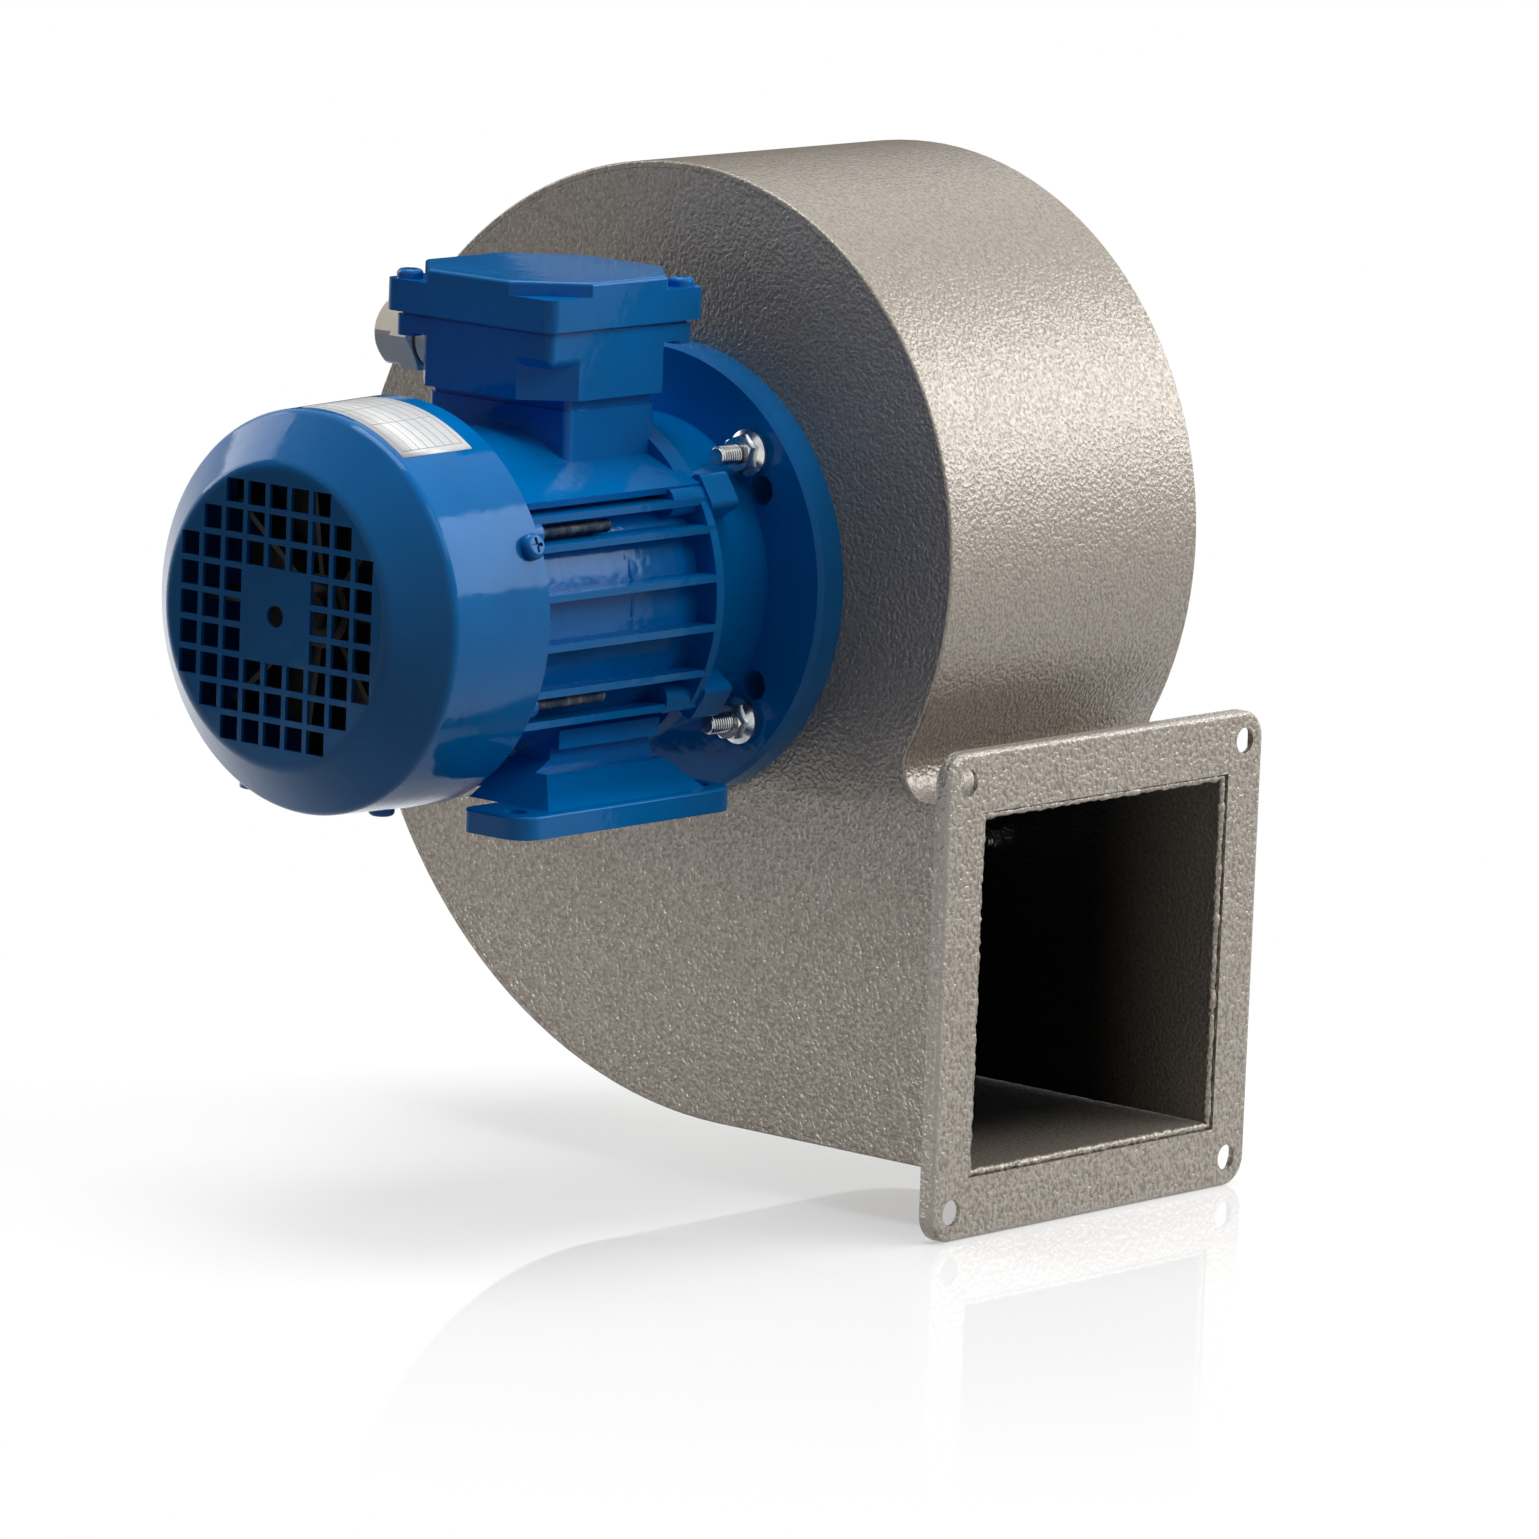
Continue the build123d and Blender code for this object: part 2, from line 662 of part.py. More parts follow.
def pedestal():
    """The square socket under the terminal box, stepped in to a neck just below it."""
    neck_x = pedestal_half_x - pedestal_neck
    neck_z = pedestal_half_z - pedestal_neck
    post = RectangleRounded(2 * pedestal_half_x, 2 * pedestal_half_z, pedestal_corner_r)
    neck = RectangleRounded(2 * neck_x, 2 * neck_z, pedestal_corner_r - pedestal_neck)
    body = slab(post, pedestal_root, box_floor_height - pedestal_neck_h)
    return body + slab(neck, pedestal_root, box_floor_height)


def floor_fins():
    """Short fins under the barrel, between the feet."""
    root = -frame_r + fin_root
    return [block(x - fin_t / 2, x + fin_t / 2, -floor_fin_reach, root, frame_start, frame_end)
            for x in floor_fin_places]


def motor_frame():
    """Cast barrel with side fins, sloping shoulders, terminal box pedestal and foot rails."""
    body = rod(frame_r, frame_start, frame_end) + frame_collar() + pedestal() + floor_fins()
    for height in fin_heights:
        body += fin_pair(height)
    body += both_sides(frame_shoulder()) + both_sides(foot_rail())
    front_boss = rod(screw_boss_r, frame_start, frame_start + screw_boss_length)
    rear_boss = rod(rear_boss_r, frame_end - rear_boss_length, frame_end)
    body += [place * front_boss for place in shield_screws]
    body += [place * rear_boss for place in rear_screws]
    body -= rod(frame_bore_r, frame_start - overrun, frame_end + overrun)
    wire_way = Rectangle(2 * wire_way_half_x, 2 * wire_way_half_z)
    body -= slab(wire_way, 0, box_floor_height + overrun)
    tap = m5_r + thread_gap
    depth = screw_engagement + overrun
    body -= [place * rod(tap, frame_start - overrun, frame_start + depth) for place in shield_screws]
    rear_tap = rod(m4_r + thread_gap, frame_end - rear_boss_length - overrun, frame_end + overrun)
    body -= [place * rear_tap for place in rear_screws]
    tap_length = 2 * (foot_screw_depth + overrun)
    return body - [place * upright(m6_r + thread_gap, tap_length) for place in foot_screw_places()]


def foot_screw_places():
    """Where the foot screws cross the joint between the rails and the feet."""
    ends = (foot_web_start + foot_screw_margin, foot_web_end - foot_screw_margin)
    return [Pos(x, -foot_joint_drop, z) for x in (-foot_screw_x, foot_screw_x) for z in ends]


def foot():
    """The right-hand foot: a plate with two holes and a web that slopes up to the frame's rail."""
    sole = -shaft_height
    top = sole + foot_t
    z0 = foot_setback - foot_end_margin
    z1 = foot_setback + foot_pitch_y + foot_end_margin
    plate = block(foot_end_inner_x, foot_outer_x, sole, top, z0, z1)
    plate = fillet(plate.edges().filter_by(Axis.Y).sort_by(Axis.X)[-2:], foot_corner_r)
    plate = fillet(plate.edges().filter_by(Axis.Y).sort_by(Axis.X)[:2], foot_end_corner_r)
    plate = fillet(plate.faces().filter_by(Axis.Y).sort_by(Axis.Y)[-1].edges().sort_by(Axis.X)[-1], foot_edge_r)
    slot_floor = -foot_joint_drop - foot_slot
    across = Polyline((foot_inner_x, top), (foot_web_base_x, top), (foot_web_top_x, slot_floor),
                      (foot_seat_outer_x, slot_floor), (foot_seat_outer_x, -foot_joint_drop),
                      (foot_inner_x, -foot_joint_drop), close=True)
    along = Polyline((top, foot_web_start - foot_web_flare_front), (top, foot_web_end + foot_web_flare_rear),
                     (-foot_joint_drop, foot_web_end), (-foot_joint_drop, foot_web_start), close=True)
    side_view = Plane(origin=(0, 0, 0), x_dir=(0, 1, 0), z_dir=(1, 0, 0))
    flared = extrude(side_view * make_face(along), foot_outer_x)
    pad = block(foot_inner_x, foot_outer_x - foot_corner_r, sole, top, foot_web_start, foot_web_end)
    body = plate + pad + (prism(make_face(across), z0, z1) & flared)
    holes = [Pos(foot_pitch_x / 2, sole, z) for z in (foot_setback, foot_setback + foot_pitch_y)]
    body -= [spot * upright(foot_hole_d / 2, 4 * foot_t) for spot in holes]
    recess = 2 * (m6_cap_h + foot_screw_recess)
    for spot in foot_screw_places():
        under = Pos(spot.position.X, sole, spot.position.Z)
        body -= spot * upright(m6_r + hole_play, 2 * shaft_height)
        body -= under * upright(m6_cap_r + cap_play, recess)
    return body


def foot_screw():
    """A cap screw from below, drawn at the joint: its head sunk in the foot, its shank in the rail."""
    seat = -shaft_height + foot_joint_drop + m6_cap_h + foot_screw_recess
    return Rot(-90, 0, 0) * cap_screw(m6_cap_r, m6_cap_h, m6_r, seat, foot_screw_depth)


def non_drive_end_shield():
    """Dished cover over the frame's rear end, with the rear bearing seat in its hub."""
    register_r = frame_bore_r - slide_fit
    bearing_seat_r = bearing_r + press_gap
    opening_r = bearing_bore_r + shaft_play
    body = turned(
        (frame_bore_r - register_wall, frame_end - register), (register_r, frame_end - register),
        (register_r, frame_end), (shield_r, frame_end), (shield_r, shield_rim_end),
        (shield_r - shield_wall, shield_rim_end + 2), (rear_hub_r + 2, shield_end), (opening_r, shield_end),
        (opening_r, rear_wall), (bearing_seat_r, rear_wall), (bearing_seat_r, rear_bearing_start - 1),
        (rear_hub_r, rear_bearing_start - 1), (rear_hub_r, shield_rim_end + 3),
        (frame_bore_r - shield_wall, shield_rim_end - 3))
    for place in rear_screws:
        body -= place * rod(m4_r + hole_play, frame_end - overrun, shield_end)
        body -= place * rod(m4_cap_r + cap_play, rear_screw_seat, shield_end)
    tap = Pos(shield_r, 0, cover_screw_z) * radial(m4_r + thread_gap, 2 * cover_screw_length)
    return body - [Rot(0, 0, angle) * tap for angle in cover_screw_angles]


add("drive_end_flange", drive_end_flange())
add("motor_frame", motor_frame())
add("foot_right", foot())
add("foot_left", mirror(foot(), Plane.YZ))
add("foot_screws", *[place * foot_screw() for place in foot_screw_places()])
drive_screw = cap_screw(m5_cap_r, m5_cap_h, m5_r, drive_screw_seat, frame_start + screw_engagement)
rear_screw = cap_screw(m4_cap_r, m4_cap_h, m4_r, rear_screw_seat, rear_screw_seat - rear_screw_length)
add("drive_end_screws", *[place * drive_screw for place in shield_screws])
add("non_drive_end_shield", non_drive_end_shield())
add("non_drive_end_screws", *[place * rear_screw for place in rear_screws])


# Fan cover
def cover_cup(grow, z0):
    """The cover's outline as a solid cup, smaller by grow all round."""
    face = cover_face - grow
    corners = ((0, z0), (cover_rim_r - grow, z0), (cover_shoulder_r - grow, cover_shoulder),
               (cover_disc_r, face), (0, face))
    rounding = (0, 0, cover_side_round - grow, cover_face_round - grow, 0)
    return spun(make_face(FilletPolyline(*corners, radius=rounding, close=True)))


def grille_squares():
    """The punched squares: a diamond-cornered pattern with a solid patch in the middle."""
    rows = range(-grille_side, grille_side + 1)
    cutter = Box(grille_hole, grille_hole, 4 * cover_sheet)
    squares = []
    for i in rows:
        for j in rows:
            in_pattern = abs(i) + abs(j) <= grille_reach
            in_middle = abs(i) <= grille_solid and abs(j) <= grille_solid
            if in_pattern and not in_middle:
                squares.append(Pos(i * grille_pitch, j * grille_pitch, cover_face) * cutter)
    return squares


def fan_cover():
    """A spun steel cup with a punched grille, screwed to the rear shield's rim."""
    body = cover_cup(0, cover_start) - cover_cup(cover_sheet, cover_start - overrun)
    body -= grille_squares()
    body -= rod(grille_centre_d / 2, cover_face - 4 * cover_sheet, cover_face + overrun)
    hole = Pos(cover_rim_r, 0, cover_screw_z) * radial(m4_r + hole_play, 2 * cover_screw_length)
    return body - [Rot(0, 0, angle) * hole for angle in cover_screw_angles]


add("fan_cover", fan_cover())
cover_screw_place = Pos(cover_rim_r + cover_screw_seat, 0, cover_screw_z) * Rot(0, 90, 0)
cover_screw = cover_screw_place * pan_screw(cover_screw_length)
add("fan_cover_screws", *[Rot(0, 0, angle) * cover_screw for angle in cover_screw_angles])


# Terminal box
def chamfered_square(half, cut):
    """A square with its four corners cut off."""
    square = Rectangle(2 * half, 2 * half)
    return chamfer(square.vertices(), cut)


def lid_screw_places():
    """The two corners with screws: front left and rear right, seen from above with the outlet at the right."""
    return [Pos(-lid_screw_offset, -lid_screw_offset), Pos(lid_screw_offset, lid_screw_offset)]


def box_base():
    """The box's lower half: a chamfered tub with a square rim, two screw bosses and two solid corners."""
    inner = box_half - box_wall
    square = RectangleRounded(2 * box_half, 2 * box_half, box_corner_r)
    body = slab(chamfered_square(box_half, box_chamfer), box_floor_height, box_top_height)
    body += slab(square, box_rim_height, box_top_height)
    for side in (-1, 1):
        middle = Pos(side * (box_half - box_corner_block / 2), -side * (box_half - box_corner_block / 2))
        corner = (middle * Rectangle(box_corner_block, box_corner_block)) & square
        low = box_rim_height - box_corner_drop
        corner = slab(corner, low, box_rim_height)
        body += fillet(corner.faces().filter_by(Axis.Y).sort_by(Axis.Y)[0].edges(), box_corner_round)
    body -= slab(chamfered_square(inner, box_chamfer), box_floor_height + box_wall, box_top_height + overrun)
    for place in lid_screw_places():
        boss = (place * Circle(box_boss_r)) & square
        body += slab(boss, box_rim_height - box_boss_drop, box_top_height)
        tap = place * Circle(m4_r + thread_gap)
        body -= slab(tap, box_rim_height - lid_screw_spare - overrun, box_top_height + overrun)
    wire_way = Rectangle(2 * box_wire_half_x, 2 * box_wire_half_z)
    body -= slab(wire_way, box_floor_height - overrun, box_floor_height + box_wall + overrun)
    return body - GLAND * rod(gland_thread_r + thread_gap, -2 * box_wall, overrun)


def box_lid():
    """A hollow lid with a raised chamfered crown, low at its four corners."""
    bottom = box_top_height + gasket_t
    skirt = slab(RectangleRounded(2 * lid_half, 2 * lid_half, lid_corner_r), bottom, lid_ear_height)
    crown = slab(chamfered_square(lid_half, lid_chamfer), lid_ear_height, lid_top_height)
    crown = fillet(crown.faces().sort_by(Axis.Y)[-1].edges(), lid_edge_round)
    hollow = chamfered_square(lid_half - box_wall, lid_chamfer)
    body = skirt + crown - slab(hollow, bottom - overrun, lid_top_height - box_wall)
    return body - [slab(place * Circle(m4_r + hole_play), bottom - overrun, lid_top_height)
                   for place in lid_screw_places()]


def box_gasket():
    """A flat rubber frame between base and lid."""
    side = 2 * (box_half - gasket_inset)
    frame = RectangleRounded(side, side, box_corner_r) - chamfered_square(box_half - box_wall, box_chamfer)
    frame -= [place * Circle(m4_r + hole_play) for place in lid_screw_places()]
    return slab(frame, box_top_height, box_top_height + gasket_t)


def lid_screws():
    """Two pan-head screws through the lid's low corners into the base's bosses."""
    length = lid_ear_height - box_rim_height + lid_screw_spare
    return [BOX * place * Pos(0, 0, lid_ear_height) * pan_screw(length) for place in lid_screw_places()]


def terminal_board():
    """A moulded board on the box's floor with a rib between its two rows of studs."""
    floor = box_floor_height + box_wall
    top = floor + board_t
    board = slab(Rectangle(2 * board_half_x, 2 * board_half_z), floor, top)
    board += slab(Rectangle(2 * board_half_x, board_rib_t), floor + board_t / 2, top + board_rib_h)
    return board - [slab(place * Circle(m4_r + thread_gap), floor + stud_seat, top + overrun)
                    for place in studs]


def terminal_stud(place):
    """A threaded stud standing in the board, with its nut."""
    top = box_floor_height + box_wall + board_t
    stud = slab(place * Circle(m4_r), top - board_t + stud_seat, top + stud_reach)
    nut = place * RegularPolygon(stud_nut_hex / 2, 6, major_radius=False)
    return stud + slab(nut, top, top + stud_nut_h)


studs = [Pos(x, y) for x in stud_columns for y in stud_rows]
add("terminal_box_base", box_base())
add("terminal_box_gasket", box_gasket())
add("terminal_box_lid", box_lid())
add("terminal_box_lid_screws", *lid_screws())
add("terminal_board", terminal_board())
add("terminal_studs", *[terminal_stud(place) for place in studs])


# Cable gland, drawn pointing away from the box's wall
gland_hex_start = gland_collar_length + gland_seal_t
gland_nut_start = gland_hex_start + gland_hex_length
gland_tip = gland_nut_start + gland_nut_length


def gland_body():
    """Threaded end through the wall, a round collar and the lower hexagon."""
    body = rod(gland_thread_r, -gland_thread_reach, gland_hex_start)
    body += rod(gland_collar_r, 0, gland_collar_length)
    body += hexagon(gland_hex, gland_hex_start, gland_nut_start)
    return body - rod(gland_mouth_r, -gland_thread_reach - overrun, gland_nut_start + overrun)


def gland_nut():
    """The clamping nut: a rounded hexagon with a domed mouth."""
    half = gland_nut_hex / 2
    body = hexagon(gland_nut_hex, gland_nut_start, gland_tip)
    dome = turned((0, gland_nut_start), (half + 1, gland_nut_start), (half + 1, gland_tip - gland_dome),
                  (half + 1 - gland_dome, gland_tip), (0, gland_tip))
    return (body & dome) - rod(gland_mouth_r, gland_nut_start - overrun, gland_tip + overrun)


add("cable_gland_body", GLAND * gland_body())
add("cable_gland_seal", GLAND * ring(gland_seal_r, gland_thread_r + thread_gap, gland_collar_length,
                                     gland_hex_start))
add("cable_gland_nut", GLAND * gland_nut())
add("cable_gland_insert", GLAND * ring(gland_mouth_r - thread_gap, gland_cable_r, gland_hex_start,
                                       gland_tip - gland_insert_recess))


# Stator and rotor
def rotor_core():
    """The laminated drum with its two end rings."""
    core = ring(rotor_r, core_bore_r + press_gap, stack_start, stack_end)
    core += ring(end_ring_r, end_ring_inner_r, stack_start - end_ring_t, stack_start)
    return core + ring(end_ring_r, end_ring_inner_r, stack_end, stack_end + end_ring_t)


def motor_shaft():
    """Stepped shaft with a keyway and a tapped end for the wheel, and a tail for the cooling fan."""
    shaft_r = shaft_d / 2
    body = turned(
        (0, -shaft_length), (shaft_r - 0.5, -shaft_length), (shaft_r, -shaft_length + 0.5), (shaft_r, 0),
        (bearing_bore_r, 0), (bearing_bore_r, drive_bearing_end), (shaft_shoulder_r, drive_bearing_end),
        (shaft_shoulder_r, stack_start - end_ring_t), (core_bore_r, stack_start - end_ring_t),
        (core_bore_r, stack_end + end_ring_t), (shaft_shoulder_r, stack_end + end_ring_t),
        (shaft_shoulder_r, rear_bearing_start), (bearing_bore_r, rear_bearing_start),
        (bearing_bore_r, rear_bearing_end), (shaft_r, rear_bearing_end), (shaft_r, shaft_tail), (0, shaft_tail))
    body -= block(-key_w / 2, key_w / 2, key_bed, shaft_d, key_start, key_start + key_length)
    return body - rod(m4_r + thread_gap, -shaft_length - overrun, -shaft_length + shaft_tap_depth)


def winding(z0):
    """The coil ends that stand out of the stator at one end."""
    return ring(winding_outer_r, winding_inner_r, z0, z0 + winding_length)


add("stator_core", ring(frame_bore_r - press_gap, rotor_r + air_gap, stack_start, stack_end))
add("stator_winding", winding(stack_start - winding_length), winding(stack_end))
add("rotor_core", rotor_core())
add("motor_shaft", motor_shaft())
add("shaft_key", block(-key_w / 2, key_w / 2, key_bed, key_bed + key_h, key_start, key_start + key_length))
add("shaft_seal", ring(seal_r, bearing_bore_r + seal_play, -spigot_h, spigot_h))


# Bearings
def bearing(name, z0):
    """One deep-groove ball bearing: two races, its balls and the cage that spaces them."""
    middle = z0 + bearing_width / 2
    end = z0 + bearing_width
    groove = Pos(0, 0, middle) * Torus(bearing_pitch_r, ball_r + ball_gap)
    ball = Pos(0, 0, middle) * Sphere(ball_r)
    pocket = Pos(0, 0, middle) * radial(ball_r + cage_play, 10 * cage_half_t)
    cage = ring(bearing_pitch_r + cage_half_t, bearing_pitch_r - cage_half_t, middle - cage_half_width,
                middle + cage_half_width)
    places = around(ball_count, bearing_pitch_r)
    outer = ring(bearing_r, bearing_pitch_r + race_gap, z0, end)
    inner = ring(bearing_pitch_r - race_gap, bearing_bore_r + press_gap, z0, end)
    add(name + "_bearing_outer_race", outer - groove)
    add(name + "_bearing_inner_race", inner - groove)
    add(name + "_bearing_balls", *[place * ball for place in places])
    add(name + "_bearing_cage", cage - [place * pocket for place in places])


bearing("drive_end", drive_bearing_start)
bearing("non_drive_end", rear_bearing_start)
add("bearing_preload_spring", ring(bearing_r, bearing_r - spring_wall, rear_bearing_end, rear_wall))


# Cooling fan on the shaft's tail
def cooling_fan():
    """Moulded hub and disc with straight radial blades, which work in both directions."""
    end = cooling_fan_start + cooling_fan_width
    body = ring(cooling_hub_r, shaft_d / 2 + press_gap, cooling_fan_start, cooling_hub_end)
    body += ring(cooling_disc_r, cooling_hub_r - 1, cooling_fan_start, cooling_fan_start + cooling_disc_t)
    half_t = cooling_blade_t / 2
    vane = block(cooling_hub_r - 1, cooling_fan_r, -half_t, half_t, cooling_fan_start, end)
    trim = turned((0, cooling_fan_start - overrun), (cooling_fan_r, cooling_fan_start - overrun),
                  (cooling_fan_r, end - cooling_blade_drop), (cooling_fan_r - cooling_blade_trim, end),
                  (cooling_hub_r, cooling_hub_end), (0, cooling_hub_end))
    return body + [place * (vane & trim) for place in around(cooling_blades, 0)]


add("cooling_fan", cooling_fan())
add("cooling_fan_clip", ring(shaft_d / 2 + clip_wall, shaft_d / 2 + press_gap, cooling_hub_end,
                             cooling_hub_end + clip_t))


# Wheel
def blade():
    """One forward-curved blade: sheet bent to a single arc that meets eye and rim at set angles."""
    r1 = wheel_eye_r
    r2 = wheel_r - blade_rim_margin
    b1 = math.radians(blade_inlet_angle)
    b2 = math.radians(blade_outlet_angle)
    bend = (r2 ** 2 - r1 ** 2) / (2 * (r1 * math.cos(b1) - r2 * math.cos(b2)))
    centre = (r1 + bend * math.cos(b1), bend * math.sin(b1))
    tip_turn = math.atan2(centre[1], centre[0]) - math.atan2(bend * math.sin(b2), r2 + bend * math.cos(b2))
    tip = (r2 * math.cos(tip_turn), r2 * math.sin(tip_turn))
    start_angle = math.degrees(math.atan2(-centre[1], r1 - centre[0]))
    end_angle = math.degrees(math.atan2(tip[1] - centre[1], tip[0] - centre[0]))
    sweep = (end_angle - start_angle + 180) % 360 - 180
    inner = CenterArc(centre, bend - blade_t / 2, start_angle, sweep)
    outer = CenterArc(centre, bend + blade_t / 2, start_angle, sweep)
    section = make_face([inner, outer, Line(inner @ 0, outer @ 0), Line(inner @ 1, outer @ 1)])
    return prism(section, front_z + wheel_sheet, blade_back)


def wheel_hub():
    """Turned hub with a flange for the back plate, bored and keyed for the shaft."""
    hub_end = -spigot_h - hub_spigot_gap
    body = ring(hub_r, shaft_d / 2 + press_gap, hub_face, hub_end)
    body += ring(hub_flange_r, hub_r - 1, back_z, back_z + hub_flange_t)
    keyway_top = key_bed + key_h + 2 * slide_fit
    body -= block(-key_w / 2, key_w / 2, 0, keyway_top, hub_face - overrun, 0)
    return body - [place * rod(rivet_r + thread_gap, back_z - overrun, 0) for place in rivets]


def back_plate():
    """The disc that carries the blades, riveted to the hub's flange."""
    plate = ring(wheel_r, hub_r + slide_fit, blade_back, back_z)
    return plate - [place * rod(rivet_r + thread_gap, blade_back - overrun, 0) for place in rivets]


def rivet():
    """A round rivet through the back plate and the hub's flange."""
    end = back_z + hub_flange_t
    body = rod(rivet_r, blade_back, end) + rod(rivet_head_r, blade_back - rivet_head_h, blade_back)
    return body + rod(rivet_head_r, end, end + rivet_head_h)


rivets = around(rivet_count, rivet_circle_r, 180 / rivet_count)
washer_face = hub_face - wheel_washer_t
add("wheel_hub", wheel_hub())
add("wheel_back_plate", back_plate())
add("wheel_blades", *[place * blade() for place in around(blade_count, 0)])
add("wheel_front_ring", ring(wheel_r, wheel_eye_r, front_z, front_z + wheel_sheet))
add("wheel_rivets", *[place * rivet() for place in rivets])
add("wheel_washer", ring(wheel_washer_r, m4_r + slide_fit, washer_face, hub_face))
wheel_screw_tip = -shaft_length + wheel_screw_reach
add("wheel_screw", hex_screw(wheel_screw_hex, m4_head_h, m4_r, washer_face, wheel_screw_tip))

# Write every piece
os.makedirs("parts", exist_ok=True)
for name, solids in pieces.items():
    shape = solids[0] if len(solids) == 1 else Compound(children=solids)
    shape.label = name
    export_step(shape, os.path.join("parts", name + ".step"))
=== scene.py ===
import json
import math

import bpy
from mathutils import Matrix, Vector, noise


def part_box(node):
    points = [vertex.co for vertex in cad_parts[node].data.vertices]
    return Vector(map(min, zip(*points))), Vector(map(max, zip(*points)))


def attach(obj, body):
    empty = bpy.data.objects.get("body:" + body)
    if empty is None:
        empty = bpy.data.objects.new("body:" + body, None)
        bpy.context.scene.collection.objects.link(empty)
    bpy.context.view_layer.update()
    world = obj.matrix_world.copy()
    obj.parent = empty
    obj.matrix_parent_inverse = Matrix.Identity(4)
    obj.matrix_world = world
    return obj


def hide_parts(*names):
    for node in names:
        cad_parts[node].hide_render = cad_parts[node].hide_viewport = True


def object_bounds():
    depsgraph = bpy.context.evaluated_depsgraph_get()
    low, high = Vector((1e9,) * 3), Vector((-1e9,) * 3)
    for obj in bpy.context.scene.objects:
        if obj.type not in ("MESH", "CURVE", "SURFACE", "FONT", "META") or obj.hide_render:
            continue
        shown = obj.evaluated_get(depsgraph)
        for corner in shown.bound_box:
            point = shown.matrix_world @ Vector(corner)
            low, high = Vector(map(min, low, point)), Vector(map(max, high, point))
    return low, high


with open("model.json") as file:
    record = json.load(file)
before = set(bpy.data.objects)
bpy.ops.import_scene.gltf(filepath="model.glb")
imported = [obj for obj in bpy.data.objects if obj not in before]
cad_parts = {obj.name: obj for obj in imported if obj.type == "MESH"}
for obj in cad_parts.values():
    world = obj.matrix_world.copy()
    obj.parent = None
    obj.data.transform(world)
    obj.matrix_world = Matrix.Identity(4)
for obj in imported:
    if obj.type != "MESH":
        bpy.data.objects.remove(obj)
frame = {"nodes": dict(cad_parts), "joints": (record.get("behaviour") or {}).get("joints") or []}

cad_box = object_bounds()


# Casing: 2 mm steel sheet, rolled and seam-welded, the flat sides let into the bent strip.
# Stove-enamelled with grey-beige hammer lacquer: aluminium flake under a glossy skin that draws
# together into small hollows as it dries, so light breaks up into short bright and dark strokes.
def linear(hex_colour):
    """An sRGB hex colour as linear red, green, blue and alpha."""
    channels = [int(hex_colour[i:i + 2], 16) / 255 for i in (1, 3, 5)]
    light = [c / 12.92 if c <= 0.04045 else ((c + 0.055) / 1.055) ** 2.4 for c in channels]
    return (*light, 1.0)


def new_material(name, **look):
    """A material whose principled shader has plain settings, named by socket with _ for a space."""
    material = bpy.data.materials.new(name)
    material.use_nodes = True
    shader = material.node_tree.nodes["Principled BSDF"]
    for socket, value in look.items():
        shader.inputs[socket.replace("_", " ")].default_value = value
    return material


def add_node(owner, kind, links=None, stops=(), **settings):
    """Adds one node to a material or the world. Links are input: output or plain value, stops are
    a ramp's places and hex colours."""
    node = owner.node_tree.nodes.new("ShaderNode" + kind)
    for name, value in settings.items():
        setattr(node, name, value)
    for name, value in (links or {}).items():
        if isinstance(value, bpy.types.NodeSocket):
            owner.node_tree.links.new(value, node.inputs[name])
        else:
            node.inputs[name].default_value = value
    if stops:
        elements = node.color_ramp.elements
        while len(elements) < len(stops):
            elements.new(0.5)
        for element, (at, colour) in zip(elements, stops):
            element.position = at
            element.color = linear(colour)
    return node


def feed(material, **outputs):
    """Joins outputs to the principled shader's sockets, named with _ for a space."""
    shader = material.node_tree.nodes["Principled BSDF"]
    for socket, output in outputs.items():
        material.node_tree.links.new(output, shader.inputs[socket.replace("_", " ")])


def base_colour(material):
    """The output that gives a material's base colour so far."""
    return material.node_tree.nodes["Principled BSDF"].inputs["Base Color"].links[0].from_socket


def per_mm(size):
    """Noise scale at which a pattern repeats about every so many millimetres."""
    return 1000.0 / size


def hammer_enamel(name, hollow, relief, hollow_shade, body, crown_light):
    """Hammer lacquer: hollows so many mm across under a gloss, coloured darker in them as painted shade and
    lighter on the crowns as painted light.
    """
    material = new_material(name, Metallic=0.35, Roughness=0.42, Coat_Weight=0.6, Coat_Roughness=0.16)
    place = add_node(material, "TexCoord").outputs["Object"]
    hollows = add_node(material, "TexNoise", {"Vector": place, "Scale": per_mm(hollow), "Detail": 1.0,
                                              "Roughness": 0.4, "Distortion": 0.3})
    # Painted shade and light: the colour follows the relief, darker in the hollows and lighter on the crowns.
    colour = add_node(material, "ValToRGB", {"Fac": hollows.outputs["Fac"]},
                      stops=((0.32, hollow_shade), (0.50, body), (0.68, crown_light)))
    bump = add_node(material, "Bump", {"Height": hollows.outputs["Fac"], "Strength": relief,
                                       "Distance": 0.001})
    sheen = add_node(material, "MapRange", {"Value": hollows.outputs["Fac"], "From Min": 0.35,
                                            "From Max": 0.65, "To Min": 0.50, "To Max": 0.36})
    feed(material, Base_Color=colour.outputs["Color"], Normal=bump.outputs["Normal"],
         Coat_Normal=bump.outputs["Normal"], Roughness=sheen.outputs["Result"])
    return material


def paint(material, *nodes):
    """Gives CAD nodes a material through their object slots."""
    for node in nodes:
        owner = frame["nodes"][node]
        for slot in owner.material_slots:
            slot.link = "OBJECT"
            slot.material = material


